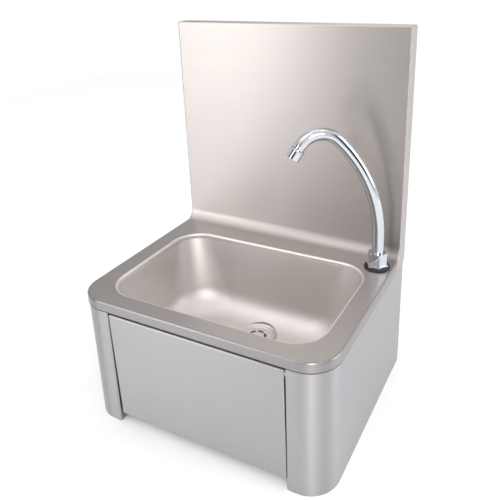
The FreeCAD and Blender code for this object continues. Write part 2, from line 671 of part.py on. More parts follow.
def make_valve_gland():
    """Screwed front of the chamber, in which the plunger slides."""
    bore = PLUNGER_RADIUS + RUNNING_GAP
    groove = bore + ORING_SECTION
    middle = GLAND_HEAD + GLAND_DEPTH / 2
    half = ORING_SECTION * 0.6
    screwed = CHAMBER_RADIUS - THREAD_GAP
    end = GLAND_HEAD + GLAND_DEPTH
    profile = [(bore, 0), (GLAND_HEAD_RADIUS - 1, 0), (GLAND_HEAD_RADIUS, 1), (GLAND_HEAD_RADIUS, GLAND_HEAD),
               (screwed, GLAND_HEAD), (screwed, end), (bore, end), (bore, middle + half),
               (groove, middle + half), (groove, middle - half), (bore, middle - half)]
    return turned(profile, V(0, NOSE_Y - GLAND_HEAD, VALVE_Z), V(0, 1, 0))


def ring(radius, section, centre, axis):
    """Rubber ring pressed into its groove, six-sided in section, by the radius of its middle."""
    half = section / 2
    flat = half / 2
    return turned([(radius - half, -flat), (radius, -half), (radius + half, -flat), (radius + half, flat),
                   (radius, half), (radius - half, flat)], centre, axis)


def make_gland_seal():
    """Rubber ring in the gland's groove, round the plunger."""
    inner = PLUNGER_RADIUS + RUNNING_GAP
    middle = NOSE_Y + GLAND_DEPTH / 2
    return ring(inner + ORING_SECTION / 2, ORING_SECTION - 0.02, V(0, middle, VALVE_Z), V(0, 1, 0))


def make_valve_plunger():
    """Chromed plunger with a domed end, a stop behind the gland and a stem to the disc."""
    tip = contact_y() + CONTACT_GAP
    stop = NOSE_Y + GLAND_DEPTH + AXIAL_PLAY - tip
    seat = SEAT_Y - tip
    end = seat + DISC_WASHER + DISC_HEIGHT + 2
    profile = [(0, 0), (PLUNGER_RADIUS * 0.5, PLUNGER_DOME * 0.15),
               (PLUNGER_RADIUS * 0.85, PLUNGER_DOME * 0.5), (PLUNGER_RADIUS, PLUNGER_DOME),
               (PLUNGER_RADIUS, stop), (STOP_RADIUS, stop),
               (STOP_RADIUS, stop + STOP_LENGTH), (STEM_RADIUS, stop + STOP_LENGTH), (STEM_RADIUS, seat),
               (STUD_RADIUS, seat), (STUD_RADIUS, end), (0, end)]
    return turned(profile, V(0, tip, VALVE_Z), V(0, 1, 0))


def make_seat_washer():
    """Rubber washer that closes the seat."""
    inner = STUD_RADIUS + THREAD_GAP
    start = V(0, SEAT_Y + 0.05, VALVE_Z)
    return tube(DISC_RADIUS - 0.5, inner, start, V(0, 1, 0), DISC_WASHER - 0.05)


def make_valve_disc():
    """Brass disc on the stem's end, behind the rubber washer, with a shoulder for the spring."""
    bore = STUD_RADIUS + THREAD_GAP
    shoulder = spring_radius() - SPRING_WIRE / 2 - 0.2
    profile = [(bore, 0), (DISC_RADIUS, 0), (DISC_RADIUS, DISC_HEIGHT * 0.6), (shoulder, DISC_HEIGHT * 0.6),
               (shoulder, DISC_HEIGHT), (bore, DISC_HEIGHT)]
    return turned(profile, V(0, SEAT_Y + DISC_WASHER, VALVE_Z), V(0, 1, 0))


def spring_radius():
    """Middle radius of the return spring."""
    return DISC_RADIUS - SPRING_WIRE / 2 - 0.3


def make_return_spring():
    """Compression spring between the disc and the cap's cup."""
    start = SEAT_Y + DISC_WASHER + DISC_HEIGHT * 0.6 + SPRING_WIRE / 2 + THREAD_GAP
    end = CUP_Y - SPRING_WIRE / 2 - THREAD_GAP
    steps = SPRING_COILS * COIL_STEPS
    sections = []
    for step in range(steps + 1):
        along = start + (end - start) * step / steps
        sections.append(wire_section(2 * math.pi * step / COIL_STEPS, along))
    return Part.makeLoft(sections, True, True)


def wire_section(angle, along):
    """Outline of the spring's wire where it passes an angle about the valve's axis."""
    points = []
    for corner in range(WIRE_FLATS + 1):
        turn = 2 * math.pi * corner / WIRE_FLATS
        reach = spring_radius() + SPRING_WIRE / 2 * math.cos(turn)
        y = along + SPRING_WIRE / 2 * math.sin(turn)
        points.append(V(reach * math.cos(angle), y, VALVE_Z + reach * math.sin(angle)))
    return Part.makePolygon(points)


def make_inlet_filter(side):
    """Filter and check valve cartridge in an inlet."""
    radius = INLET_BORE - THREAD_GAP
    profile = [(3.0, 0), (radius, 0), (radius, 2), (radius - 1, 3), (radius - 1, FILTER_LENGTH),
               (3.0, FILTER_LENGTH)]
    return turned(profile, inlet_at(side, INLET_END_Z + 1), UP)


def make_valve_locknut():
    """Nut on the nose, in front of the rail."""
    start = V(0, RAIL_Y - LOCKNUT_HEIGHT, VALVE_Z)
    nut = hexagon(LOCKNUT_FLATS, start, V(0, 1, 0), LOCKNUT_HEIGHT, 30)
    return nut.cut(rod(NOSE_RADIUS + THREAD_GAP, start, V(0, 1, 0), LOCKNUT_HEIGHT))


# ---- Riser pipe ----------------------------------------------------------------
def make_riser_pipe():
    """Bent pipe from the valve's outlet, past the waste, up to the tap's shank."""
    start = V(0, OUTLET_END_Y - RISER_INSERT, VALVE_Z)
    corners = [start, V(0, RISER_Y, VALVE_Z), V(TAP_X, RISER_Y, VALVE_Z), V(TAP_X, TAP_Y, VALVE_Z),
               V(TAP_X, TAP_Y, SHANK_END_Z + RISER_INSERT)]
    path = Part.Wire(rounded_path(corners, [RISER_FIRST_BEND, RISER_BEND, RISER_BEND]))
    return swept(path, RISER_RADIUS).cut(swept(path, RISER_RADIUS - RISER_WALL))


def make_riser_nut(end, axis, thread):
    """Compression nut over the end of a threaded spigot; axis points off the spigot."""
    start = end - axis * (RISER_NUT_HEIGHT - OLIVE_LENGTH - 3)
    nut = hexagon(RISER_NUT_FLATS, start, axis, RISER_NUT_HEIGHT)
    nut = nut.cut(rod(thread + THREAD_GAP, start, axis, RISER_NUT_HEIGHT - 3))
    return nut.cut(rod(RISER_RADIUS + THREAD_GAP, start, axis, RISER_NUT_HEIGHT))


def make_olive(end, axis):
    """Brass compression ring round the pipe, at the mouth of a spigot."""
    inner = RISER_RADIUS + 0.02
    outer = inner + OLIVE_WALL
    return turned([(inner, 0), (outer - 0.8, 0), (outer, 1.2), (outer, OLIVE_LENGTH - 1.2),
                   (outer - 0.8, OLIVE_LENGTH), (inner, OLIVE_LENGTH)], end, axis)


# ---- Tap -----------------------------------------------------------------------
def tap_at(z):
    """Point on the tap's axis."""
    return V(TAP_X, TAP_Y, z)


def make_tap_base():
    """Chromed base: hexagonal flange, threaded neck above and threaded shank below."""
    base = hexagon(TAP_FLANGE_FLATS, tap_at(WASHER_TOP_Z), UP, TAP_FLANGE_HEIGHT)
    base = base.fuse(rod(TAP_NECK_RADIUS, tap_at(WASHER_TOP_Z), UP, TAP_NECK_HEIGHT))
    base = base.fuse(rod(SHANK_RADIUS, tap_at(SHANK_END_Z), UP, SHANK_LENGTH))
    base = base.cut(rod(TAP_BORE, tap_at(SHANK_END_Z), UP, SHANK_LENGTH + TAP_NECK_HEIGHT))
    socket = BUSH_SPIGOT_RADIUS + RUNNING_GAP
    return base.cut(rod(socket, tap_at(NECK_TOP_Z - SOCKET_DEPTH), UP, SOCKET_DEPTH)).removeSplitter()


def make_tap_washer():
    """Black rubber washer under the base."""
    r = WASHER_RADIUS
    return turned([(SHANK_RADIUS + 0.1, 0), (r, 0), (r, WASHER_HEIGHT - 1), (r - 1, WASHER_HEIGHT),
                   (SHANK_RADIUS + 0.1, WASHER_HEIGHT)], tap_at(DECK_HEIGHT), UP)


def make_tap_clamp_plate():
    """Steel washer under the deck."""
    top = DECK_HEIGHT - SHEET
    return tube(CLAMP_RADIUS, SHANK_RADIUS + 0.2, tap_at(top - CLAMP_HEIGHT), UP, CLAMP_HEIGHT)


def make_tap_back_nut():
    """Brass nut that clamps the tap to the deck."""
    bottom = DECK_HEIGHT - SHEET - CLAMP_HEIGHT - BACK_NUT_HEIGHT
    nut = hexagon(BACK_NUT_FLATS, tap_at(bottom), UP, BACK_NUT_HEIGHT, 15)
    return nut.cut(rod(SHANK_RADIUS + THREAD_GAP, tap_at(bottom), UP, BACK_NUT_HEIGHT))


def make_spout_nut():
    """Chromed hexagonal nut that keeps the spout's collar on the base."""
    bottom = WASHER_TOP_Z + TAP_FLANGE_HEIGHT
    top = DECK_HEIGHT + SPOUT_NUT_TOP
    shoulder = RING_Z + RING_HEIGHT + AXIAL_PLAY
    nut = hexagon(SPOUT_NUT_FLATS, tap_at(bottom), UP, top - bottom)
    nut = nut.cut(rod(TAP_NECK_RADIUS + THREAD_GAP, tap_at(bottom), UP, shoulder - bottom))
    return nut.cut(rod(SPOUT_RADIUS + RUNNING_GAP, tap_at(bottom), UP, top - bottom))


def make_spout_bush():
    """Brass foot of the spout: grooved spigot and a collar under the nut."""
    bottom = NECK_TOP_Z - SOCKET_DEPTH + AXIAL_PLAY
    r = BUSH_SPIGOT_RADIUS
    deep = r - ORING_SECTION
    half = ORING_SECTION * 0.6
    profile = [(TAP_BORE, 0), (r, 0)]
    for along in oring_places():
        profile += [(r, along - half), (deep, along - half), (deep, along + half), (r, along + half)]
    collar = COLLAR_Z - bottom
    profile += [(r, collar), (COLLAR_RADIUS, collar), (COLLAR_RADIUS, collar + COLLAR_HEIGHT),
                (TAP_BORE, collar + COLLAR_HEIGHT)]
    return turned(profile, tap_at(bottom), UP)


def oring_places():
    """Distances of the two rubber rings above the foot of the spout's bush."""
    return (SOCKET_DEPTH * 0.3, SOCKET_DEPTH * 0.68)


def make_spout_orings():
    """The two rubber rings in the bush's grooves."""
    bottom = NECK_TOP_Z - SOCKET_DEPTH + AXIAL_PLAY
    radius = BUSH_SPIGOT_RADIUS - ORING_SECTION / 2
    return [ring(radius, ORING_SECTION - 0.02, tap_at(bottom + along), UP) for along in oring_places()]


def make_spout_ring():
    """Plastic ring between the collar and the nut's shoulder."""
    return tube(COLLAR_RADIUS, SPOUT_RADIUS + RUNNING_GAP, tap_at(RING_Z + 0.02), UP, RING_HEIGHT)


# ---- Spout ---------------------------------------------------------------------
def spout_point(reach, height):
    """Point of the spout's plane: reach from the tap's axis and height above the deck."""
    heading = math.radians(SPOUT_HEADING)
    return V(TAP_X + reach * math.cos(heading), TAP_Y + reach * math.sin(heading), DECK_HEIGHT + height)


def bend(start, lean, sweep, radius):
    """Arc of the spout from a (reach, height) start; gives the edge and its far end."""
    def at(angle):
        reach = start[0] + radius * (math.cos(lean) - math.cos(angle))
        height = start[1] + radius * (math.sin(angle) - math.sin(lean))
        return reach, height
    end = at(lean + sweep)
    middle = at(lean + sweep / 2)
    edge = Part.Arc(spout_point(*start), spout_point(*middle), spout_point(*end)).toShape()
    return edge, end


def spout_run():
    """Path of the spout up to the end of the hook, with that end and its direction."""
    foot = (0, RING_Z - DECK_HEIGHT)
    rise_end = (0, SPOUT_STRAIGHT)
    rise = Part.LineSegment(spout_point(*foot), spout_point(*rise_end)).toShape()
    long_curve, joint = bend(rise_end, 0, math.radians(LONG_SWEEP), LONG_RADIUS)
    hook, end = bend(joint, math.radians(LONG_SWEEP), math.radians(HOOK_SWEEP), HOOK_RADIUS)
    lean = math.radians(LONG_SWEEP + HOOK_SWEEP)
    heading = math.radians(SPOUT_HEADING)
    direction = V(math.sin(lean) * math.cos(heading), math.sin(lean) * math.sin(heading), math.cos(lean))
    return Part.Wire([rise, long_curve, hook]), spout_point(*end), direction


def neck(radius_a, radius_b, start, direction):
    """Tapered and then straight end of the tube."""
    length = TIP_RUN - AERATOR_LENGTH + AERATOR_OVERLAP
    profile = [(0, 0), (radius_a, 0), (radius_b, NECK_TAPER), (radius_b, length), (0, length)]
    return turned(profile, start, direction)


def make_spout_tube():
    """Swan neck: straight rise, long curve, tight hook and a drawn-in end."""
    path, end, direction = spout_run()
    bent = swept(path, SPOUT_RADIUS).cut(swept(path, SPOUT_RADIUS - SPOUT_WALL))
    tip = neck(SPOUT_RADIUS, NECK_RADIUS, end, direction)
    tip = tip.cut(neck(SPOUT_RADIUS - SPOUT_WALL, NECK_RADIUS - SPOUT_WALL, end, direction))
    return bent.fuse(tip).removeSplitter()


def make_aerator_shell():
    """Chromed sleeve over the tube's end, with a raised rim at its top."""
    _, end, direction = spout_run()
    start = end + direction * (TIP_RUN - AERATOR_LENGTH)
    bore = NECK_RADIUS + THREAD_GAP
    wide = INSERT_RADIUS + THREAD_GAP
    step = AERATOR_OVERLAP + 0.3
    ledge = step + INSERT_HEIGHT + 0.1
    rim = AERATOR_RIM_RADIUS
    profile = [(bore, 0), (rim - 0.6, 0), (rim, 0.6), (rim, AERATOR_RIM), (AERATOR_RADIUS, AERATOR_RIM + 0.5),
               (AERATOR_RADIUS, AERATOR_LENGTH - 0.8), (AERATOR_RADIUS - 0.8, AERATOR_LENGTH),
               (wide - 1.2, AERATOR_LENGTH), (wide - 1.2, ledge), (wide, ledge), (wide, step), (bore, step)]
    return turned(profile, start, direction)


def make_aerator_insert():
    """Perforated disc inside the aerator."""
    _, end, direction = spout_run()
    start = end + direction * (TIP_RUN - AERATOR_LENGTH + AERATOR_OVERLAP + 0.35)
    disc = rod(INSERT_RADIUS, V(0, 0, 0), UP, INSERT_HEIGHT)
    holes = [V(0, 0, 0)] + [V(4.6 * math.cos(a), 4.6 * math.sin(a), 0) for a in
                            [math.radians(60 * i) for i in range(6)]]
    for hole in holes:
        disc = disc.cut(rod(1.2, hole, UP, INSERT_HEIGHT))
    disc.Placement = FreeCAD.Placement(start, FreeCAD.Rotation(UP, direction))
    return disc


# ---- Waste ---------------------------------------------------------------------
def drain_at(z):
    """Point on the waste's axis."""
    return V(0, DRAIN_Y, z)


def kidney(turn, bottom, height):
    """Curved slot of the grid, a sector of a ring with round ends."""
    middle = (SLOT_INNER + SLOT_OUTER) / 2
    half = (SLOT_OUTER - SLOT_INNER) / 2
    start = math.radians(turn - SLOT_ANGLE / 2)
    end = math.radians(turn + SLOT_ANGLE / 2)

    def at(radius, angle):
        return V(radius * math.cos(angle), DRAIN_Y + radius * math.sin(angle), bottom)

    def cap(angle, sign):
        along = V(-math.sin(angle), math.cos(angle), 0) * sign * half
        return at(middle, angle) + along
    centre = math.radians(turn)
    edges = [Part.Arc(at(SLOT_INNER, start), at(SLOT_INNER, centre), at(SLOT_INNER, end)).toShape(),
             Part.Arc(at(SLOT_INNER, end), cap(end, 1), at(SLOT_OUTER, end)).toShape(),
             Part.Arc(at(SLOT_OUTER, end), at(SLOT_OUTER, centre), at(SLOT_OUTER, start)).toShape(),
             Part.Arc(at(SLOT_OUTER, start), cap(start, -1), at(SLOT_INNER, start)).toShape()]
    return pillar(Part.Wire(edges), height)


def flange_bottom():
    """Underside of the waste's flange, on its seal."""
    return SUMP_Z + SEAL_HEIGHT


def make_waste_flange():
    """Polished flange with a dished grid and a short spigot."""
    top = FLANGE_HEIGHT
    grid = top - GRID_DROP
    low = grid - GRID_SHEET
    profile = [(0, low), (SPIGOT_RADIUS - SPIGOT_WALL, low), (SPIGOT_RADIUS - SPIGOT_WALL, -SPIGOT_LENGTH),
               (SPIGOT_RADIUS, -SPIGOT_LENGTH), (SPIGOT_RADIUS, 0), (FLANGE_RADIUS, 0), (FLANGE_RADIUS, 0.8),
               (FLANGE_RADIUS - 1.2, top - 0.3), (FLANGE_RIM_RADIUS, top), (FLANGE_RIM_RADIUS - 2, top - 0.2),
               (GRID_RADIUS, grid), (0, grid)]
    flange = turned(profile, drain_at(flange_bottom()), UP)
    for i in range(SLOT_COUNT):
        flange = flange.cut(kidney(360.0 / SLOT_COUNT * (i + 0.5), flange_bottom() + low - 1, GRID_SHEET + 2))
    seat = turned([(0, 0), (SCREW_RADIUS, 0), (SCREW_HEAD_RADIUS, 3.2), (0, 3.2)],
                  drain_at(flange_bottom() + grid - 3.2), UP)
    return flange.cut(seat).cut(rod(SCREW_RADIUS + THREAD_GAP, drain_at(SUMP_Z - 5), UP, 12)).removeSplitter()


def make_waste_screw():
    """Countersunk screw that draws the flange and the tail together."""
    top = flange_bottom() + FLANGE_HEIGHT - GRID_DROP
    screw = turned([(0, -SCREW_LENGTH), (SCREW_RADIUS, -SCREW_LENGTH), (SCREW_RADIUS, -3.2),
                    (SCREW_HEAD_RADIUS, 0), (0, 0)], drain_at(top), UP)
    slot = block(-0.7, 0.7, DRAIN_Y - SCREW_HEAD_RADIUS, DRAIN_Y + SCREW_HEAD_RADIUS, top - 1.2, top + 1)
    return screw.cut(slot)


def tail_top():
    """Upper face of the tail's flange, under its gasket."""
    return SUMP_Z - SHEET - GASKET_HEIGHT


def make_waste_tail():
    """Threaded outlet with a bridge that takes the screw."""
    top = tail_top()
    flange_low = top - TAIL_FLANGE_HEIGHT
    tail = tube(TAIL_FLANGE_RADIUS, TAIL_BORE, drain_at(flange_low), UP, TAIL_FLANGE_HEIGHT)
    tail = tail.fuse(tube(TAIL_RADIUS, TAIL_BORE, drain_at(flange_low - TAIL_LENGTH), UP, TAIL_LENGTH))
    low = top - SPIGOT_LENGTH - BRIDGE_HEIGHT
    half = BRIDGE_WIDTH / 2
    reach = TAIL_BORE + 1
    bars = block(-reach, reach, DRAIN_Y - half, DRAIN_Y + half, low, low + BRIDGE_HEIGHT)
    bars = bars.fuse(block(-half, half, DRAIN_Y - reach, DRAIN_Y + reach, low, low + BRIDGE_HEIGHT))
    bars = bars.fuse(rod(BRIDGE_BOSS_RADIUS, drain_at(low), UP, BRIDGE_HEIGHT))
    tail = tail.fuse(bars)
    return tail.cut(rod(SCREW_RADIUS + THREAD_GAP, drain_at(low - 1), UP, BRIDGE_HEIGHT + 2)).removeSplitter()


# ---- Assembly ------------------------------------------------------------------
save("deck_splashback", make_deck_splashback())
save("bowl", make_bowl())
side_panel = make_side_panel_right()
save("side_panel_right", side_panel)
save("side_panel_left", mirrored(side_panel))
save("rear_crossbar", make_rear_crossbar())
save("valve_rail", make_valve_rail())

save("knee_panel", make_knee_panel())
save("panel_stiffener", make_panel_stiffener())
hinge_pin = make_hinge_pin()
save("hinge_pins", hinge_pin, mirrored(hinge_pin))
hinge_bush = make_hinge_bush()
save("hinge_bushes", hinge_bush, mirrored(hinge_bush))

save("valve_body", make_valve_body())
save("valve_cap", make_valve_cap())
save("valve_gland", make_valve_gland())
save("gland_seal", make_gland_seal())
save("valve_plunger", make_valve_plunger())
save("seat_washer", make_seat_washer())
save("valve_disc", make_valve_disc())
save("return_spring", make_return_spring())
save("inlet_filters", make_inlet_filter(-1), make_inlet_filter(1))
save("valve_locknut", make_valve_locknut())

outlet_end = V(0, OUTLET_END_Y, VALVE_Z)
shank_end = tap_at(SHANK_END_Z)
save("riser_pipe", make_riser_pipe())
save("riser_bottom_nut", make_riser_nut(outlet_end, V(0, 1, 0), OUTLET_RADIUS))
save("riser_top_nut", make_riser_nut(shank_end, V(0, 0, -1), SHANK_RADIUS))
save("riser_olives", make_olive(outlet_end, V(0, 1, 0)), make_olive(shank_end, V(0, 0, -1)))

save("tap_base", make_tap_base())
save("tap_washer", make_tap_washer())
save("tap_clamp_plate", make_tap_clamp_plate())
save("tap_back_nut", make_tap_back_nut())
save("spout_nut", make_spout_nut())
save("spout_bush", make_spout_bush())
save("spout_orings", *make_spout_orings())
save("spout_ring", make_spout_ring())
save("spout_tube", make_spout_tube())
save("aerator_shell", make_aerator_shell())
save("aerator_insert", make_aerator_insert())

save("waste_flange", make_waste_flange())
save("waste_seal", tube(FLANGE_RADIUS - 2, WASTE_HOLE_RADIUS, drain_at(SUMP_Z), UP, SEAL_HEIGHT))
save("waste_gasket", tube(TAIL_FLANGE_RADIUS, WASTE_HOLE_RADIUS, drain_at(tail_top()), UP, GASKET_HEIGHT))
save("waste_tail", make_waste_tail())
save("waste_screw", make_waste_screw())

print("plunger ratio m/rad", (HINGE_Z - VALVE_Z) / 1000)
print("panel swing deg", math.degrees(PLUNGER_TRAVEL / (HINGE_Z - VALVE_Z)))
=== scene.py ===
"""Looks of a knee-operated hand wash sink of stainless steel sheet.

Every length is in metres. X runs to the right, -Y is the front, the wall is at +Y and Z is up.
"""

import math

import bmesh
import bpy
from mathutils import Matrix, Vector


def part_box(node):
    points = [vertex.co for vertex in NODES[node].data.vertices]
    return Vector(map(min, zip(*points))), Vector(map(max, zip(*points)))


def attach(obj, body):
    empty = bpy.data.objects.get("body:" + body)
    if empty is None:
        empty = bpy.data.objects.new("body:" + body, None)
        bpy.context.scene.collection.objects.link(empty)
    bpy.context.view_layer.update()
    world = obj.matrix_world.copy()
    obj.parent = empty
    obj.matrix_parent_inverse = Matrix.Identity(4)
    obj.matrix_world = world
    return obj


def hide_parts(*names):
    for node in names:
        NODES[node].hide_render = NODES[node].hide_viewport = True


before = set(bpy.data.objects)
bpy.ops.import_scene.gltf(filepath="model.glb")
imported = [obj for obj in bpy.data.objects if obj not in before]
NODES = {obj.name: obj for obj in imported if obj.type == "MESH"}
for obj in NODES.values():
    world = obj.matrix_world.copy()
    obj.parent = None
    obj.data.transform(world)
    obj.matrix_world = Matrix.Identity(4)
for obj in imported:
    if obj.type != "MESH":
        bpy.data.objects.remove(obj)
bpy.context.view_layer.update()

bl_info = {
    "name": "Knee-operated hand wash sink",
    "version": (1, 0, 0),
    "blender": (4, 5, 0),
    "location": "View3D > Sidebar > Sink",
    "description": "Builds the sheet metal, bowl, tap, valve and stage of a hand wash sink",
    "category": "Object",
}

MM = 0.001
UP = Vector((0, 0, 1))


# ---- Sizes, colours and settings ------------------------------------------------
def length(name, mm, description):
    """Length property with its default in millimetres."""
    return bpy.props.FloatProperty(name=name, default=mm * MM, min=0, unit="LENGTH", description=description)


def angle(name, degrees, description):
    """Angle property with its default in degrees."""
    return bpy.props.FloatProperty(
        name=name, default=math.radians(degrees), subtype="ANGLE", description=description)


def number(name, default, least, description):
    """Plain number property."""
    return bpy.props.FloatProperty(name=name, default=default, min=least, description=description)


def linear(hex_colour):
    """Linear red, green and blue of an sRGB hex colour."""
    parts = [int(hex_colour[i:i + 2], 16) / 255 for i in (1, 3, 5)]
    return [c / 12.92 if c <= 0.04045 else ((c + 0.055) / 1.055) ** 2.4 for c in parts]


def colour(name, hex_colour, description):
    """Colour property with its default as an sRGB hex value."""
    return bpy.props.FloatVectorProperty(
        name=name, default=linear(hex_colour), size=3, min=0, max=1, subtype="COLOR",
        description=description)


class SinkSheetSizes(bpy.types.PropertyGroup):
    sheet: length("Sheet", 1.2, "Thickness of the stainless steel sheet")
    bend: length("Bend", 2.6, "Outside radius of a sharp fold")
    corner: length("Corner", 45, "Radius of the deck's front corners, seen from above")
    cove: length("Cove", 18, "Radius of the hollow between deck and splashback")
    skirt: length("Skirt", 16, "Height of the deck's folded edge")
    sheared: length("Sheared edge", 1.6, "Rounding of the skirt's sheared lower edge")
    splash_return: length("Splashback return", 25, "Depth of the splashback's folded edges")
    deck_height: length("Deck height", 210, "Top of the deck above the lower edge of the posts")
    flange: length("Wall flange", 24, "Width of the side panel's flange on the wall")
    post_return: length("Post return", 18, "Depth of the post's folded inner edge")
    wall_hole: length("Wall hole", 4.25, "Radius of a hole for a wall fixing")
    wall_hole_inset: length("Wall hole inset", 12.5, "Hole to the outside of the side panel")
    lower_hole: length("Lower hole", 34, "Height of the lower wall fixing")
    upper_hole: length("Upper hole", 180, "Height of the upper wall fixing")
    hinge_hole: length("Hinge hole", 3, "Radius of the post's hole for the hinge pin")
    lean: angle("Lean", 1.0, "How far the knee panel leans in at rest")
    steps: bpy.props.IntProperty(
        name="Steps", default=16, min=4, max=64, description="Facets of a quarter turn")


class SinkBowlSizes(bpy.types.PropertyGroup):
    side_ledge: length("Side ledge", 32.5, "Deck left beside the bowl")
    front_ledge: length("Front ledge", 29.5, "Deck left in front of the bowl")
    back_ledge: length("Back ledge", 55, "Bowl to splashback")
    depth: length("Depth", 130, "Deck to the bowl's floor")
    corner: length("Corner", 45, "Radius of the bowl's upright corners at its mouth")
    floor_corner: length("Floor corner", 88, "Radius that they would have at the floor")
    draft: length("Draft", 14, "How far the walls lean in over their height")
    floor_radius: length("Floor radius", 42, "Radius between wall and floor")
    lip: length("Lip", 3.2, "Radius of the rolled edge at the mouth")
    weld_drop: length("Weld drop", 8, "Deck to the weld under the rolled edge")
    sump_radius: length("Sump radius", 33, "Radius of the seat pressed for the waste")
    sump_depth: length("Sump depth", 3, "Depth of that seat")
    sump_slope: length("Sump slope", 3, "How far the seat's wall leans in")
    press: length("Press", 1.2, "Rounding of the seat's pressed edges")
    waste_hole: length("Waste hole", 21.5, "Radius of the hole for the waste")
    drain_from_back: length("Drain from back", 65, "Bowl's back edge to the centre of the waste")


class SinkTapSizes(bpy.types.PropertyGroup):
    from_side: length("From side", 25, "Tap's axis to the side of the deck")
    from_splash: length("From splashback", 44, "Tap's axis to the splashback")
    hole: length("Hole", 11.2, "Radius of the deck's hole for the tap")
    tube: length("Tube", 9, "Outside radius of the spout")
    neck: length("Neck", 7.9, "Outside radius of its drawn-in end")
    foot: length("Foot", 21, "Lower end of the tube above the deck")
    rise: length("Rise", 52, "Deck to the start of the long curve")
    long_radius: length("Long radius", 222, "Radius of the long curve")
    long_sweep: angle("Long sweep", 44, "Turn of the long curve")
    hook_radius: length("Hook radius", 35, "Radius of the hook")
    hook_sweep: angle("Hook sweep", 104, "Turn of the hook")
    tip_run: length("Tip run", 22, "Straight end after the hook, with the aerator")
    taper: length("Taper", 5, "Length over which the tube is drawn in")
    overhang: length("Overhang", 5, "Aerator beyond the end of the tube")
    heading: angle("Heading", 210, "Direction of the spout, from +X")
    aerator: length("Aerator", 10, "Outside radius of the aerator")
    aerator_rim: length("Aerator rim", 10.5, "Radius of the rim at its top")
    aerator_length: length("Aerator length", 16, "Length of the aerator")


class SinkValveSizes(bpy.types.PropertyGroup):
    wire: length("Wire", 1.2, "Wire of the return spring")
    coils: number("Coils", 6, 1, "Turns of the return spring")
    riser: length("Riser", 5, "Outside radius of the riser pipe")
    riser_bend: length("Riser bend", 26, "Radius of the riser pipe's wide bends")
    riser_first_bend: length("Riser first bend", 16, "Radius of its bend at the valve")
    thread_pitch: length("Thread pitch", 1.8, "Pitch of the pipe threads")
    thread_depth: length("Thread depth", 0.7, "Depth of the pipe threads")
    inlet: length("Inlet", 10.48, "Radius of an inlet over its thread")
    inlet_thread: length("Inlet thread", 11.5, "Length of an inlet's thread")
    tail: length("Tail", 20.95, "Radius of the waste tail over its thread")
    tail_thread: length("Tail thread", 30, "Length of the tail's thread")
    shank: length("Shank", 10.4, "Radius of the tap's shank over its thread")
    weld_spot: length("Weld spot", 2.6, "Radius of the mark that a spot weld leaves")
    weld_height: length("Weld height", 0.2, "Height of that mark")


class SinkColours(bpy.types.PropertyGroup):
    steel: colour("Steel", "#b9b3b0", "Ground stainless steel sheet")
    # Skirt steel: the sheet's steel made darker for the skirt, painted shade of its darker band.
    edge: colour("Skirt steel", "#9c999a", "Linished stainless steel of the skirt")
    # Lip steel: the bowl's steel made near-white on the rolled edge, a painted highlight along the mouth.
    lip: colour("Lip steel", "#ece8e5", "Buffed rolled edge of the bowl's mouth")
    # Sheared steel: near-black on the skirt's real sheared lower edge, painted shade of the dark line under
    # the skirt.
    sheared: colour("Sheared steel", "#4a484a", "Sheared edge of the sheet")
    panel: colour("Panel steel", "#aeadaf", "Ground stainless steel of the side and knee panels")
    bowl: colour("Bowl steel", "#d8d3d1", "Drawn stainless steel of the bowl")
    bright: colour("Bright steel", "#d2d1cf", "Polished stainless steel")
    chrome: colour("Chrome", "#c4c8cd", "Chrome plate")
    brass: colour("Brass", "#b89558", "Machined brass")
    rubber: colour("Rubber", "#17171a", "Moulded black rubber")
    plastic: colour("Plastic", "#e4e3df", "Moulded white plastic")
    floor: colour("Floor", "#fdfdfd", "Pale paper floor")


class SinkStage(bpy.types.PropertyGroup):
    lens: number("Lens", 41.49, 10, "Focal length in mm on a 36 mm sensor")
    yaw: angle("Yaw", 28.17, "Turn of the camera to the left of +Y")
    pitch: angle("Pitch", 19.51, "Tilt of the camera below the horizon")
    roll: angle("Roll", -1.70, "Roll of the camera")
    key: number("Key light", 6.4, 0, "Power of the soft key light in watts")
    fill: number("Fill light", 12.0, 0, "Power of the fill light in watts")
    top: number("Top light", 3.6, 0, "Power of the top light in watts")
    sky: number("Surroundings", 1.03, 0, "Strength of the white surroundings")


# Facets of round forms
FOLD_STEPS = 6             # quarter turn of a fold
LIP_STEPS = 8              # quarter turn of the mouth's rolled edge
COVE_STEPS = 12            # quarter turn of the cove
FLOOR_STEPS = 18           # round edge between the bowl's wall and its floor
HOLE_FACETS = 32
WALL_HOLE_FACETS = 24
PIN_HOLE_FACETS = 20
WASTE_FACETS = 96
TUBE_FACETS = 48
TURNED_FACETS = 64
RISER_FACETS = 32
WIRE_FACETS = 10
RIDGE_FACETS = 6

# Lengths in metres too small to be a size of the sink
MERGE = 0.00001            # vertices nearer than this are one
SLIVER = 0.000005
NEAR = 0.0001              # heights nearer than this count as the same
LEAST_RADIUS = 0.00002     # keeps a corner's loop from collapsing
CAD_MERGE = 0.000002

# Marks of each finish per metre. The real ones of a ground or turned surface are finer than shown.
SCRATCHES = (3, 1400, 1)   # along and across the brushing: 0.7 mm apart
BANDS = (1.5, 60, 1)
BRUSHED_SPAN = (0.45, 0.9)   # where their values mostly lie
DRAWING_CLOUDS = 18.0      # 56 mm
SATIN_GRAIN = 1600.0       # 0.6 mm
POLISHING_HAZE = 60.0      # 17 mm
TOOL_MARKS = 1650.0        # 0.6 mm
BAR_CLOUDS = 90.0          # 11 mm

SENSOR = 36                # mm
VIEW_END = 50              # metres
FLOOR_REACH = 2.4
CAMERA_PLACE = Vector((399.79, -680.85, 653.20)) * MM
CAMERA_SHIFT = (-0.0306, -0.158)

# Soft lights: where they stand, what they face, width and height in metres, and tint
SOFTBOXES = {"key": ((0.75, -1.1, 0.9), (0.1, -0.3, 0.05), 0.5, 0.6, (1.0, 0.94, 0.91)),
             "fill": ((1.9, 0.6, 0.9), (0, 0, 0.2), 1.2, 1.4, (0.86, 0.92, 1.0)),
             "top": ((0, 0.1, 2.0), (0, 0, 0), 1.4, 1.0, (1.0, 0.97, 0.95))}

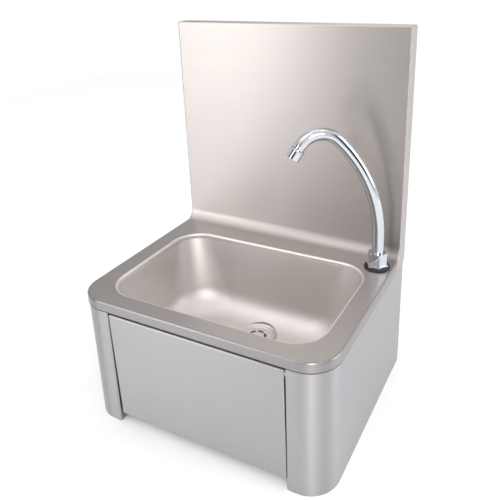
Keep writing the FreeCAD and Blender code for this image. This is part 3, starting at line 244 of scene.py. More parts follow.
# Patches of the studio's walls that the steel mirrors: direction, reach in degrees, height for its
# width, and light added or taken away. Camera rays see a plain backdrop in their place.
SIDES = [((-0.54, -0.84, -0.05), 14, 2.5, 3.8),
         ((-0.14, -0.99, -0.1), 20, 2.0, -1.1),
         ((-0.86, -0.51, 0.0), 22, 2.5, -1.0),
         ((0.95, -0.30, 0.0), 24, 2.5, -1.0),
         ((0.45, -0.89, 0.1), 7, 2.5, 3.5),
         ((-0.40, -0.50, 0.70), 30, 1.0, 0.9),
         ((-0.66, 0.60, 0.45), 26, 1.0, -0.8),
         ((0.0, 0.0, 1.0), 40, 1.0, -0.3)]


# ---- Materials --------------------------------------------------------------------
def add(tree, kind, settings=None, inputs=None):
    """Adds a node with its settings and its inputs, which are values or sockets to link."""
    node = tree.nodes.new(kind)
    for key, value in (settings or {}).items():
        setattr(node, key, value)
    for key, value in (inputs or {}).items():
        if isinstance(value, bpy.types.NodeSocket):
            tree.links.new(value, node.inputs[key])
        else:
            node.inputs[key].default_value = value
    return node


def surface(name, base, metallic, roughness, **extra):
    """New material with its Principled shader; returns both."""
    material = bpy.data.materials.new(name)
    material.use_nodes = True
    tree = material.node_tree
    shader = tree.nodes["Principled BSDF"]
    shader.inputs["Base Color"].default_value = (*base, 1)
    shader.inputs["Metallic"].default_value = metallic
    shader.inputs["Roughness"].default_value = roughness
    for key, value in extra.items():
        shader.inputs[key.replace("_", " ")].default_value = value
    return material, tree, shader


def shade_colour(tree, shader, base, value, span, shades):
    """Lightens and darkens the base colour as a value runs over its span."""
    shade = add(tree, "ShaderNodeMapRange", inputs={
        "Value": value, "From Min": span[0], "From Max": span[1], "To Min": shades[0], "To Max": shades[1]})
    tinted = add(tree, "ShaderNodeVectorMath", {"operation": "SCALE"}, {
        0: base, "Scale": shade.outputs["Result"]})
    tree.links.new(tinted.outputs["Vector"], shader.inputs["Base Color"])


def cloud_roughness(tree, shader, place, scale, detail, least, most):
    """Soft clouds in the roughness."""
    clouds = add(tree, "ShaderNodeTexNoise", inputs={"Vector": place, "Scale": scale, "Detail": detail})
    rough = add(tree, "ShaderNodeMapRange", inputs={
        "Value": clouds.outputs["Fac"], "From Min": 0.3, "From Max": 0.7, "To Min": least, "To Max": most})
    tree.links.new(rough.outputs["Result"], shader.inputs["Roughness"])


def grain_relief(tree, shader, place, scale, detail, strength, depth):
    """Even fine grain that the light catches."""
    grain = add(tree, "ShaderNodeTexNoise", inputs={"Vector": place, "Scale": scale, "Detail": detail})
    bump = add(tree, "ShaderNodeBump", inputs={
        "Strength": strength, "Distance": depth, "Height": grain.outputs["Fac"]})
    tree.links.new(bump.outputs["Normal"], shader.inputs["Normal"])


def ground_steel(name, base, roughness=0.38, contrast=0.03, depth=0.01 * MM):
    """304 stainless sheet, ground along U with a 180-grit belt.

    Its fine lines smear reflections across them. The real scratches lie about 0.1 mm apart. They are
    drawn about 0.7 mm apart so that they show."""
    material, tree, shader = surface(name, base, 1.0, roughness, Anisotropic=0.9, Anisotropic_Rotation=0.25)
    uv = add(tree, "ShaderNodeUVMap", {"uv_map": "brushing"}).outputs["UV"]
    fine = add(tree, "ShaderNodeMapping", inputs={"Vector": uv, "Scale": SCRATCHES})
    lines = add(tree, "ShaderNodeTexNoise", inputs={
        "Vector": fine.outputs["Vector"], "Scale": 1.0, "Detail": 2.0, "Roughness": 0.5})
    broad = add(tree, "ShaderNodeMapping", inputs={"Vector": uv, "Scale": BANDS})
    bands = add(tree, "ShaderNodeTexNoise", inputs={
        "Vector": broad.outputs["Vector"], "Scale": 1.0, "Detail": 2.0})
    mixed = add(tree, "ShaderNodeMath", {"operation": "MULTIPLY_ADD"}, {
        0: bands.outputs["Fac"], 1: 0.2, 2: lines.outputs["Fac"]}).outputs[0]
    shade_colour(tree, shader, base, mixed, BRUSHED_SPAN, (1 - contrast, 1 + contrast))
    rough = add(tree, "ShaderNodeMapRange", inputs={
        "Value": mixed, "From Min": BRUSHED_SPAN[0], "From Max": BRUSHED_SPAN[1],
        "To Min": roughness - 0.03, "To Max": roughness + 0.04})
    tree.links.new(rough.outputs["Result"], shader.inputs["Roughness"])
    bump = add(tree, "ShaderNodeBump", inputs={
        "Strength": 0.3, "Distance": depth, "Height": lines.outputs["Fac"]})
    tree.links.new(bump.outputs["Normal"], shader.inputs["Normal"])
    along = add(tree, "ShaderNodeTangent", {"direction_type": "UV_MAP", "uv_map": "brushing"})
    tree.links.new(along.outputs["Tangent"], shader.inputs["Tangent"])
    return material


def drawn_steel(name, base):
    """304 stainless, deep drawn and bead-finished: an even satin with faint clouds from the drawing die."""
    material, tree, shader = surface(name, base, 1.0, 0.46)
    place = add(tree, "ShaderNodeTexCoord").outputs["Object"]
    cloud_roughness(tree, shader, place, DRAWING_CLOUDS, 3.0, 0.43, 0.50)
    grain_relief(tree, shader, place, SATIN_GRAIN, 2.0, 0.2, 0.02 * MM)
    return material


def plated(name, base, roughness):
    """Nickel-chrome plate, or polished steel where rougher: reflections with a trace of polishing haze."""
    material, tree, shader = surface(name, base, 1.0, roughness)
    place = add(tree, "ShaderNodeTexCoord").outputs["Object"]
    cloud_roughness(tree, shader, place, POLISHING_HAZE, 2.0, roughness * 0.8, roughness * 1.3)
    return material


def machined(name, base, roughness):
    """Bar stock turned on a lathe: tool marks of about 0.2 mm, drawn as an even grain of 0.6 mm to show."""
    material, tree, shader = surface(name, base, 1.0, roughness)
    place = add(tree, "ShaderNodeTexCoord").outputs["Object"]
    cast = add(tree, "ShaderNodeTexNoise", inputs={"Vector": place, "Scale": BAR_CLOUDS, "Detail": 3.0})
    shade_colour(tree, shader, base, cast.outputs["Fac"], (0.3, 0.7), (0.9, 1.08))
    grain_relief(tree, shader, place, TOOL_MARKS, 1.0, 0.25, 0.03 * MM)
    return material


def moulded(name, base, roughness, grain_mm):
    """Compression-moulded rubber or injection-moulded plastic: no metal, with the mould's fine grain."""
    material, tree, shader = surface(name, base, 0.0, roughness)
    place = add(tree, "ShaderNodeTexCoord").outputs["Object"]
    grain_relief(tree, shader, place, 1 / (grain_mm * MM), 2.0, 0.3, 0.04 * MM)
    return material


# How each material is made: its kind, its colour and what else its kind asks for
FINISHES = {"ground_304_sheet": (ground_steel, "steel"),
            # Darker copy of the sheet steel for the skirt: painted shade.
            "linished_304_edge": (ground_steel, "edge", 0.34),
            # Near-white steel on the real rolled edge: a painted highlight.
            "buffed_304_lip": (drawn_steel, "lip"),
            # Near-black on the real sheared edge: a painted shadow line under the skirt.
            "sheared_304_edge": (drawn_steel, "sheared"),
            "ground_304_panel": (ground_steel, "panel"),
            "drawn_304_bowl": (drawn_steel, "bowl"),
            "mill_304_sheet": (drawn_steel, "steel"),
            "polished_304": (plated, "bright", 0.36),
            "chrome_plate": (plated, "chrome", 0.05),
            "machined_brass": (machined, "brass", 0.3),
            "turned_steel": (machined, "steel", 0.28),
            "moulded_rubber": (moulded, "rubber", 0.55, 0.5),
            "moulded_nylon": (moulded, "plastic", 0.4, 0.8)}


def finish(name):
    """Material by its name, made the first time it is asked for."""
    known = bpy.data.materials.get(name)
    if known:
        return known
    make, tone, *rest = FINISHES[name]
    return make(name, getattr(bpy.context.scene.sink_colours, tone)[:], *rest)


# ---- Mesh helpers -----------------------------------------------------------------
def arc_points(centre, radius, start, sweep, steps):
    """Points of an arc in a plane; angles in radians."""
    turns = [start + sweep * i / steps for i in range(steps + 1)]
    return [(centre[0] + radius * math.cos(a), centre[1] + radius * math.sin(a)) for a in turns]


def rounded_rectangle(x0, x1, y0, y1, radius, steps):
    """Loop of a rectangle with round corners, anticlockwise from its right front corner."""
    quarter = math.pi / 2
    centres = [(x1 - radius, y0 + radius, -quarter), (x1 - radius, y1 - radius, 0),
               (x0 + radius, y1 - radius, quarter), (x0 + radius, y0 + radius, 2 * quarter)]
    return [p for x, y, start in centres for p in arc_points((x, y), radius, start, quarter, steps)]


def quarter_turn(steps):
    """Angles of a quarter turn."""
    return [math.pi / 2 * i / steps for i in range(steps + 1)]


def full_turn(centre, radius, facets):
    """Points round a circle in a plane."""
    return arc_points(centre, radius, 0, 2 * math.pi, facets)[:-1]


def paint_from(bm, first, index):
    """Gives the faces made since the first one a material slot."""
    for face in list(bm.faces)[first:]:
        face.material_index = index


def ring_of(bm, points):
    """Vertices at the points."""
    return [bm.verts.new(p) for p in points]


def bridge(bm, one, two, closed):
    """Quads between two rows of vertices."""
    count = len(one)
    for i in range(count if closed else count - 1):
        j = (i + 1) % count
        bm.faces.new((one[i], one[j], two[j], two[i]))


def loft(bm, rows, closed=True):
    """Skin over rows of points; returns the rows of vertices."""
    made = [ring_of(bm, row) for row in rows]
    for one, two in zip(made, made[1:]):
        bridge(bm, one, two, closed)
    return made


def flat_fill(bm, loops):
    """Fills the flat area between loops of points, leaving the inner ones open."""
    edges = []
    for loop in loops:
        verts = ring_of(bm, loop)
        edges += [bm.edges.new((a, b)) for a, b in zip(verts, verts[1:] + verts[:1])]
    bmesh.ops.triangle_fill(bm, use_beauty=True, use_dissolve=False, edges=edges)


def clean(bm, point, direction):
    """Merges doubles and turns every face so that the one nearest to point faces the direction."""
    bmesh.ops.remove_doubles(bm, verts=bm.verts, dist=MERGE)
    bmesh.ops.dissolve_degenerate(bm, edges=bm.edges, dist=SLIVER)
    bmesh.ops.recalc_face_normals(bm, faces=bm.faces)
    bm.normal_update()
    near = min(bm.faces, key=lambda f: (f.calc_center_median() - Vector(point)).length)
    if near.normal.dot(Vector(direction)) < 0:
        bmesh.ops.reverse_faces(bm, faces=bm.faces)


def to_object(name, bm, material, smooth=True):
    """Object from a finished mesh, with its brushing direction as a UV map in metres."""
    mesh = bpy.data.meshes.new(name)
    bm.to_mesh(mesh)
    bm.free()
    obj = bpy.data.objects.new(name, mesh)
    bpy.context.scene.collection.objects.link(obj)
    mesh.materials.append(material)
    mesh.shade_smooth() if smooth else mesh.shade_flat()
    brush_map(mesh)
    return obj


def brush_map(mesh):
    """UV map with U along the brushing: level on upright faces, along X on level ones."""
    layer = mesh.uv_layers.new(name="brushing")
    for face in mesh.polygons:
        x, y, z = (abs(c) for c in face.normal)
        for index in face.loop_indices:
            p = mesh.vertices[mesh.loops[index].vertex_index].co
            along = p.y if x > max(y, z) else p.x
            across = p.y if z > max(x, y) else p.z
            layer.data[index].uv = (along, across)


def thicken(obj, thickness):
    """Gives a sheet its wall, on the side away from its normals."""
    wall = obj.modifiers.new("wall", "SOLIDIFY")
    wall.thickness = thickness
    wall.offset = -1
    wall.use_even_offset = True


def even_normals(obj):
    """Keeps flats flat and folds smooth under the light."""
    weighted = obj.modifiers.new("normals", "WEIGHTED_NORMAL")
    weighted.keep_sharp = True
    weighted.weight = 100


def place_piece(obj, body, nodes):
    """Rides on its body and stands for its CAD nodes."""
    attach(obj, body)
    if nodes:
        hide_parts(*nodes)
    return obj


def place_sheet(obj, body, node):
    """Gives a sheet-metal piece its wall and its place."""
    thicken(obj, bpy.context.scene.sink_sheet.sheet)
    even_normals(obj)
    place_piece(obj, body, [node])


def lathe(name, profile, steps, start, axis, material):
    """Body turned from a closed profile of (radius, distance along the axis) points."""
    bm = bmesh.new()
    turn = Vector(axis).to_track_quat("Z", "Y").to_matrix()
    rows = []
    for radius, along in profile + profile[:1]:
        circle = [(radius * math.cos(a), radius * math.sin(a), along)
                  for a in (2 * math.pi * i / steps for i in range(steps))]
        rows.append([Vector(start) + turn @ Vector(p) for p in circle])
    loft(bm, rows)
    bmesh.ops.remove_doubles(bm, verts=bm.verts, dist=SLIVER)
    bmesh.ops.recalc_face_normals(bm, faces=bm.faces)
    obj = to_object(name, bm, material)
    sharpen(obj, 35)
    return obj


def sharpen(obj, degrees):
    """Marks edges sharper than an angle, so that they stay crisp."""
    bm = bmesh.new()
    bm.from_mesh(obj.data)
    limit = math.radians(degrees)
    for edge in bm.edges:
        edge.smooth = not (edge.is_manifold and edge.calc_face_angle(0) > limit)
    bm.to_mesh(obj.data)
    bm.free()


# ---- Geometry Nodes helpers -------------------------------------------------------
def node_tree(name, sizes):
    """New geometry tree with named float inputs; returns it with its input and output nodes."""
    tree = bpy.data.node_groups.new(name, "GeometryNodeTree")
    tree.interface.new_socket("Geometry", in_out="INPUT", socket_type="NodeSocketGeometry")
    for label, value in sizes.items():
        kind = "NodeSocketInt" if isinstance(value, int) else "NodeSocketFloat"
        tree.interface.new_socket(label, in_out="INPUT", socket_type=kind)
    tree.interface.new_socket("Geometry", in_out="OUTPUT", socket_type="NodeSocketGeometry")
    return tree, add(tree, "NodeGroupInput"), add(tree, "NodeGroupOutput")


def close_tree(tree, output, geometry, material):
    """Ends a tree in real geometry with its material."""
    real = add(tree, "GeometryNodeRealizeInstances", inputs={"Geometry": geometry})
    painted = add(tree, "GeometryNodeSetMaterial", inputs={
        "Geometry": real.outputs[0], "Material": material})
    tree.links.new(painted.outputs[0], output.inputs["Geometry"])


def grown(name, base_mesh, tree, sizes):
    """Plain mesh object from a tree run on a base mesh with its sizes set."""
    obj = bpy.data.objects.new(name, base_mesh)
    bpy.context.scene.collection.objects.link(obj)
    modifier = obj.modifiers.new("grow", "NODES")
    modifier.node_group = tree
    idents = {s.name: s.identifier for s in tree.interface.items_tree if s.in_out == "INPUT"}
    for label, value in sizes.items():
        modifier[idents[label]] = value
    bpy.context.view_layer.update()
    seen = obj.evaluated_get(bpy.context.evaluated_depsgraph_get())
    mesh = bpy.data.meshes.new_from_object(seen)
    obj.modifiers.remove(modifier)
    obj.data = mesh
    mesh.name = name
    return obj


def wire_mesh(name, points):
    """Mesh of a single open path."""
    mesh = bpy.data.meshes.new(name)
    mesh.from_pydata([tuple(p) for p in points], [(i, i + 1) for i in range(len(points) - 1)], [])
    return mesh


def wrapped(tree, given, output, path, radius, material):
    """Ends a tree in a closed round skin along a path."""
    ring = add(tree, "GeometryNodeCurvePrimitiveCircle", inputs={
        "Resolution": given.outputs["Facets"], "Radius": given.outputs[radius]})
    skin = add(tree, "GeometryNodeCurveToMesh", inputs={
        "Curve": path.outputs[0], "Profile Curve": ring.outputs["Curve"], "Fill Caps": True})
    close_tree(tree, output, skin.outputs[0], material)
    return tree


def pipe_tree(material):
    """Tree that lays a round pipe along a path."""
    tree, given, output = node_tree("pipe_along_path", {"Radius": 0.0, "Facets": 0})
    path = add(tree, "GeometryNodeMeshToCurve", inputs={"Mesh": given.outputs["Geometry"]})
    return wrapped(tree, given, output, path, "Radius", material)


def helix_tree(material):
    """Tree that winds a round wire or a thread ridge into a helix along Z."""
    labels = {"Radius": 0.0, "Height": 0.0, "Turns": 0.0, "Wire": 0.0, "Facets": 0}
    tree, given, output = node_tree("wound_helix", labels)
    path = add(tree, "GeometryNodeCurveSpiral", inputs={
        "Resolution": 32, "Rotations": given.outputs["Turns"], "Start Radius": given.outputs["Radius"],
        "End Radius": given.outputs["Radius"], "Height": given.outputs["Height"]})
    return wrapped(tree, given, output, path, "Wire", material)


def pipe(name, points, radius, facets):
    """Chromed pipe along points, as a plain mesh with crisp ends."""
    sizes = {"Radius": radius, "Facets": facets}
    obj = grown(name, wire_mesh(f"{name}_path", points), pipe_tree(finish("chrome_plate")), sizes)
    obj.data.shade_smooth()
    sharpen(obj, 50)
    return obj


def helix(name, start, axis, radius, height, turns, wire, facets, material):
    """Helix as a plain mesh, standing on start along an axis."""
    empty = bpy.data.meshes.new(name)
    sizes = {"Radius": radius, "Height": height, "Turns": turns, "Wire": wire, "Facets": facets}
    obj = grown(name, empty, helix_tree(material), sizes)
    turn = Vector(axis).to_track_quat("Z", "Y").to_matrix().to_4x4()
    obj.data.transform(Matrix.Translation(Vector(start)) @ turn)
    obj.data.shade_smooth()
    return obj


def marks_tree(material):
    """Tree that sets a shallow round mark on every vertex of a mesh, tilted about X."""
    tree, given, output = node_tree("marks_on_points", {"Radius": 0.0, "Height": 0.0, "Tilt": 0.0})
    crown = add(tree, "ShaderNodeMath", {"operation": "MULTIPLY"}, {0: given.outputs["Radius"], 1: 0.6})
    mark = add(tree, "GeometryNodeMeshCone", inputs={
        "Vertices": 20, "Radius Top": crown.outputs[0], "Radius Bottom": given.outputs["Radius"],
        "Depth": given.outputs["Height"]})
    tilt = add(tree, "ShaderNodeCombineXYZ", inputs={"X": given.outputs["Tilt"]})
    spread = add(tree, "GeometryNodeInstanceOnPoints", inputs={
        "Points": given.outputs["Geometry"], "Instance": mark.outputs["Mesh"], "Rotation": tilt.outputs[0]})
    close_tree(tree, output, spread.outputs[0], material)
    return tree


# ---- Places worked out from the frame and the sizes ---------------------------------
def overall():
    """Lowest and highest corner of the whole sheet work."""
    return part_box("deck_splashback")


def mouth_loop(grow, z, rounder=0.0):
    """Loop of the bowl's mouth, made larger on all sides, and with rounder corners further down."""
    sheet = bpy.context.scene.sink_sheet
    bowl = bpy.context.scene.sink_bowl
    low, high = overall()
    x = high.x - bowl.side_ledge + grow
    y0 = low.y + bowl.front_ledge - grow
    y1 = high.y - sheet.splash_return - bowl.back_ledge + grow
    radius = max(bowl.corner + rounder + grow, LEAST_RADIUS)
    return [(px, py, z) for px, py in rounded_rectangle(-x, x, y0, y1, radius, sheet.steps)]


def tap_axis():
    """Tap's axis at the height of the deck."""
    sheet = bpy.context.scene.sink_sheet
    tap = bpy.context.scene.sink_tap
    _, high = overall()
    y = high.y - sheet.splash_return - tap.from_splash
    return Vector((high.x - tap.from_side, y, sheet.deck_height))


def hinge_point():
    """Middle of the knee panel's hinge axis."""
    low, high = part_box("hinge_pins")
    return Vector((0, (low.y + high.y) / 2, (low.z + high.z) / 2))


def leaned(hinge, lean):
    """Turn of the knee panel about its hinge to where it hangs at rest."""
    return Matrix.Translation(hinge) @ Matrix.Rotation(lean, 4, "X") @ Matrix.Translation(-hinge)


def drain_axis():
    """Waste's axis at the height of the bowl's floor."""
    sheet = bpy.context.scene.sink_sheet
    bowl = bpy.context.scene.sink_bowl
    _, high = overall()
    y = high.y - sheet.splash_return - bowl.back_ledge - bowl.drain_from_back
    return Vector((0, y, sheet.deck_height - bowl.depth))


# ---- Pieces ---------------------------------------------------------------------------
class SINK_OT_deck(bpy.types.Operator):
    """Folded sheet of deck, skirt, cove and splashback, with the bowl's mouth rolled down"""
    bl_idname = "sink.deck"
    bl_label = "Deck and splashback"

    sheared_lean = 0.2     # how far the sheared edge leans in, for its height

    def execute(self, context):
        sizes = context.scene.sink_sheet
        bowl = context.scene.sink_bowl
        low, high = overall()
        bm = bmesh.new()
        outline, outward = self.outline(sizes, low, high)
        self.skirt(bm, sizes, outline, outward, low)
        self.mouth(bm, sizes, bowl)
        self.top(bm, sizes, outline, outward)
        self.splashback(bm, sizes, low, high)
        clean(bm, (0, low.y + 0.015, sizes.deck_height), (0, 0, 1))
        obj = to_object("deck_and_splashback", bm, finish("ground_304_sheet"))
        # Slot 1 is the skirt's darker steel, painted shade.
        # Slot 2 is the sheared edge in near-black, painted shade of the line under the skirt.
        # Slot 3 is the rolled mouth edge in near-white steel, a painted highlight.
        for name in ("linished_304_edge", "sheared_304_edge", "buffed_304_lip"):
            obj.data.materials.append(finish(name))
        place_sheet(obj, "sink", "deck_splashback")
        return {"FINISHED"}

    def outline(self, sizes, low, high):
        """Edge of the deck from the left end of the cove round the front to its right end."""
        back = high.y - sizes.splash_return - sizes.cove
        r = sizes.corner
        quarter = math.pi / 2
        left = arc_points((low.x + r, low.y + r), r, 2 * quarter, quarter, sizes.steps)
        right = arc_points((high.x - r, low.y + r), r, -quarter, quarter, sizes.steps)
        points = [(low.x, back)] + left + right + [(high.x, back)]
        around = [(-1, 0)] + arc_points((0, 0), 1, 2 * quarter, quarter, sizes.steps)
        around += arc_points((0, 0), 1, -quarter, quarter, sizes.steps) + [(1, 0)]
        return points, around

    def skirt(self, bm, sizes, outline, outward, low):
        """Fold at the deck's edge and the skirt under it; the skirt's darker steel and its near-black
        sheared edge are painted shade.
        """
        b = sizes.bend
        rows = []
        for a in quarter_turn(FOLD_STEPS):
            inset = b * (1 - math.sin(a))
            z = sizes.deck_height - b * (1 - math.cos(a))
            rows.append([(x - nx * inset, y - ny * inset, z) for (x, y), (nx, ny) in zip(outline, outward)])
        r = sizes.sheared
        rows.append([(x, y, low.z + r) for x, y in outline])
        first = len(bm.faces)
        loft(bm, rows, closed=False)
        # Slot 1: darker skirt steel, painted shade.
        paint_from(bm, first, 1)
        inset = r * self.sheared_lean
        lip = [(x - nx * inset, y - ny * inset, low.z) for (x, y), (nx, ny) in zip(outline, outward)]
        first = len(bm.faces)
        loft(bm, [rows[-1], lip], closed=False)
        # Slot 2: the real sheared edge, coloured near-black as painted shade of the gap line under the
        # skirt.
        paint_from(bm, first, 2)

    def mouth(self, bm, sizes, bowl):
        """Rolled edge of the mouth down to the weld, in near-white steel as a painted highlight."""
        rows = []
        for a in quarter_turn(LIP_STEPS):
            z = sizes.deck_height - bowl.lip * (1 - math.cos(a))
            rows.append(mouth_loop(bowl.lip * (1 - math.sin(a)), z))
        rows.append(mouth_loop(0, sizes.deck_height - bowl.weld_drop))
        first = len(bm.faces)
        loft(bm, rows)
        # Slot 3: near-white steel on the rolled edge, a painted highlight.
        paint_from(bm, first, 3)

    def top(self, bm, sizes, outline, outward):
        """Flat of the deck, open at the bowl's mouth and at the tap."""
        bowl = bpy.context.scene.sink_bowl
        z = sizes.deck_height
        edge = [(x - nx * sizes.bend, y - ny * sizes.bend, z) for (x, y), (nx, ny) in zip(outline, outward)]
        radius = bpy.context.scene.sink_tap.hole
        hole = [(x, y, z) for x, y in full_turn(tap_axis().xy, radius, HOLE_FACETS)]
        flat_fill(bm, [edge, mouth_loop(bowl.lip, z), hole])

    def splashback(self, bm, sizes, low, high):
        """Cove, splashback and its folded sides and top."""
        b = sizes.bend
        face = high.y - sizes.splash_return
        z0 = sizes.deck_height
        cove = sizes.cove
        rows = []
        for step in range(COVE_STEPS + 1):
            a = math.pi / 2 * (step / COVE_STEPS - 1)
            point = (face - cove + cove * math.cos(a), z0 + cove + cove * math.sin(a))
            normal = (-math.cos(a), -math.sin(a))
            share = 2 * step / COVE_STEPS
            if share <= 1:
                back = (face - cove + (high.y - face + cove) * share, low.z)
            else:
                back = (high.y, low.z + (z0 + cove - low.z) * (share - 1))
            rows.append((point, normal, back))
        top = high.z - b
        for a in quarter_turn(FOLD_STEPS):
            normal = (-math.cos(a), math.sin(a))
            point = (face + b + b * normal[0], top + b * normal[1])
            rows.append((point, normal, (high.y, top)))
        rows.append(((high.y, high.z), (0, 1), (high.y, top)))
        loft(bm, [self.cross_row(row, b, low.x, high.x) for row in rows], closed=False)

    def cross_row(self, row, b, x0, x1):
        """One line across the splashback, from its left back edge to its right one."""
        (y, z), (ny, nz), (back_y, back_z) = row
        core = (y - b * ny, z - b * nz)
        half = []
        for a in quarter_turn(FOLD_STEPS):
            out = b * math.sin(a)
            half.append((b * (1 - math.cos(a)), core[0] + out * ny, core[1] + out * nz))
        left = [(x0, back_y, back_z)] + [(x0 + dx, py, pz) for dx, py, pz in half]
        right = [(x1 - dx, py, pz) for dx, py, pz in reversed(half)] + [(x1, back_y, back_z)]
        return left + right


class SINK_OT_bowl(bpy.types.Operator):
    """Deep-drawn bowl with its pressed seat for the waste"""
    bl_idname = "sink.bowl"
    bl_label = "Bowl"

    def execute(self, context):
        sheet = context.scene.sink_sheet
        bowl = context.scene.sink_bowl
        top = sheet.deck_height - bowl.weld_drop
        floor = sheet.deck_height - bowl.depth
        body = self.solid("bowl_body", self.wall_rows(bowl, top, floor))
        axis = drain_axis()
        narrow = bowl.sump_radius - bowl.sump_slope
        low = floor - bowl.sump_depth
        seat_rows = [self.circle(axis, narrow, low), self.circle(axis, bowl.sump_radius, floor),
                     self.circle(axis, bowl.sump_radius, floor + 2 * bowl.sump_depth)]
        bm = self.united(body, self.solid("waste_seat", seat_rows))
        caps = [f for f in bm.faces if self.is_cap(f, top, low)]
        bmesh.ops.delete(bm, geom=caps, context="FACES")
        loft(bm, [self.circle(axis, narrow, low), self.circle(axis, bowl.waste_hole, low)])
        clean(bm, (0.08, axis.y, floor), (0, 0, 1))
        obj = to_object("drawn_bowl", bm, finish("drawn_304_bowl"))
        press = obj.modifiers.new("pressed_edges", "BEVEL")
        press.width = bowl.press
        press.segments = 3
        press.limit_method = "ANGLE"
        press.angle_limit = math.radians(20)
        place_sheet(obj, "sink", "bowl")
        return {"FINISHED"}

    def is_cap(self, face, top, low):
        """True for the level faces at the mouth and in the bottom of the seat."""
        z = face.calc_center_median().z
        return abs(face.normal.z) > 0.9 and (z > top - NEAR or z < low + NEAR)

    def wall_rows(self, bowl, top, floor):
        """Loops from the mouth down the leaning walls and round to the floor."""
        slope = math.atan(bowl.draft / (top - floor))
        r = bowl.floor_radius
        centre_z = floor + r
        centre_in = bowl.draft * (top - centre_z) / (top - floor) + r / math.cos(slope)
        gain = (bowl.floor_corner - bowl.corner + bowl.draft) / (top - floor)
        rows = [mouth_loop(0, top)]
        for step in range(FLOOR_STEPS + 1):
            a = slope + (math.pi / 2 - slope) * step / FLOOR_STEPS
            z = centre_z - r * math.sin(a)
            rows.append(mouth_loop(r * math.cos(a) - centre_in, z, gain * (top - z)))
        return rows

    def circle(self, axis, radius, z):
        """Level loop round the waste's axis."""
        return [(x, y, z) for x, y in full_turn(axis.xy, radius, WASTE_FACETS)]

    def solid(self, name, rows):
        """Closed body over loops of points."""
        bm = bmesh.new()
        made = loft(bm, rows)
        bm.faces.new(made[0])
        bm.faces.new(made[-1])
        bmesh.ops.recalc_face_normals(bm, faces=bm.faces)
        return to_object(name, bm, finish("drawn_304_bowl"))

    def united(self, body, seat):
        """Mesh of two closed bodies made into one."""
        union = body.modifiers.new("seat", "BOOLEAN")
        union.operation = "UNION"
        union.object = seat
        bpy.context.view_layer.update()
        mesh = bpy.data.meshes.new_from_object(body.evaluated_get(bpy.context.evaluated_depsgraph_get()))
        bm = bmesh.new()
        bm.from_mesh(mesh)
        bpy.data.objects.remove(body)
        bpy.data.objects.remove(seat)
        bpy.data.meshes.remove(mesh)
        return bm


class SINK_OT_side_panels(bpy.types.Operator):
    """Side panels with their round corner, post and wall flange"""
    bl_idname = "sink.side_panels"
    bl_label = "Side panels"

    def execute(self, context):
        for hand, side in (("left", -1), ("right", 1)):
            obj = self.panel(context.scene.sink_sheet, f"{hand}_side_panel", side)
            place_sheet(obj, "sink", f"side_panel_{hand}")
        return {"FINISHED"}

    def panel(self, sizes, name, side):
        """One panel, made on the right and mirrored for the left."""
        low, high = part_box("side_panel_right")
        b = sizes.bend
        quarter = math.pi / 2
        r = high.x - (overall()[1].x - sizes.corner)
        path = arc_points((high.x - b, high.y - b), b, quarter, -quarter, FOLD_STEPS)
        path += arc_points((high.x - r, low.y + r), r, 0, -quarter, sizes.steps)
        path += arc_points((low.x + b, low.y + b), b, -quarter, -quarter, FOLD_STEPS)
        bm = bmesh.new()
        loft(bm, [[(x, y, low.z) for x, y in path], [(x, y, high.z) for x, y in path]], closed=False)
        self.flange(bm, sizes, low, high)
        self.post_edge(bm, sizes, low, high)
        clean(bm, (high.x, 0, 0.1), (1, 0, 0))
        if side < 0:
            bmesh.ops.scale(bm, vec=(-1, 1, 1), verts=bm.verts)
            bmesh.ops.reverse_faces(bm, faces=bm.faces)
        return to_object(name, bm, finish("ground_304_panel"))

    def flange(self, bm, sizes, low, high):
        """Flat against the wall, with its two holes."""
        x0 = high.x - sizes.flange
        x1 = high.x - sizes.bend
        frame_loop = [(x0, high.y, low.z), (x1, high.y, low.z), (x1, high.y, high.z), (x0, high.y, high.z)]
        loops = [frame_loop]
        for z in (sizes.lower_hole, sizes.upper_hole):
            circle = full_turn((high.x - sizes.wall_hole_inset, z), sizes.wall_hole, WALL_HOLE_FACETS)
            loops.append([(x, high.y, cz) for x, cz in circle])
        flat_fill(bm, loops)

    def post_edge(self, bm, sizes, low, high):
        """Inner edge of the post, with the hole for the hinge pin."""
        x = low.x
        y0 = low.y + sizes.bend
        y1 = low.y + sizes.post_return
        edge = [(x, y0, low.z), (x, y1, low.z), (x, y1, high.z), (x, y0, high.z)]
        hole = [(x, y, z) for y, z in full_turn(hinge_point().yz, sizes.hinge_hole, PIN_HOLE_FACETS)]
        flat_fill(bm, [edge, hole])


class SINK_OT_knee_panel(bpy.types.Operator):
    """Knee panel: a shallow pan with folded edges, leaning in at its foot"""
    bl_idname = "sink.knee_panel"
    bl_label = "Knee panel"

    def execute(self, context):
        sizes = context.scene.sink_sheet
        hinge = hinge_point()
        back = Matrix.Rotation(-sizes.lean, 4, "X") @ Matrix.Translation(-hinge)
        node = NODES["knee_panel"].data
        straight = [back @ v.co for v in node.vertices]
        x = max(p.x for p in straight)
        z0 = min(p.z for p in straight) + hinge.z
        z1 = max(p.z for p in straight) + hinge.z
        y0 = min(p.y for p in straight) + hinge.y
        y1 = max(p.y for p in straight) + hinge.y
        b = sizes.bend
        rows = []
        for a in quarter_turn(FOLD_STEPS):
            inset = b * (1 - math.sin(a))
            radius = max(b - inset, LEAST_RADIUS)
            loop = rounded_rectangle(-x + inset, x - inset, z0 + inset, z1 - inset, radius, FOLD_STEPS)
            rows.append([(px, y0 + b * (1 - math.cos(a)), pz) for px, pz in loop])
        rows.append([(px, y1, pz) for px, _, pz in rows[-1]])
        bm = bmesh.new()
        made = loft(bm, rows)
        bm.faces.new(made[0])
        clean(bm, (0, y0, (z0 + z1) / 2), (0, -1, 0))
        bm.transform(leaned(hinge, sizes.lean))
        obj = to_object("pressed_knee_panel", bm, finish("ground_304_panel"))
        place_sheet(obj, "knee_panel", "knee_panel")
        return {"FINISHED"}


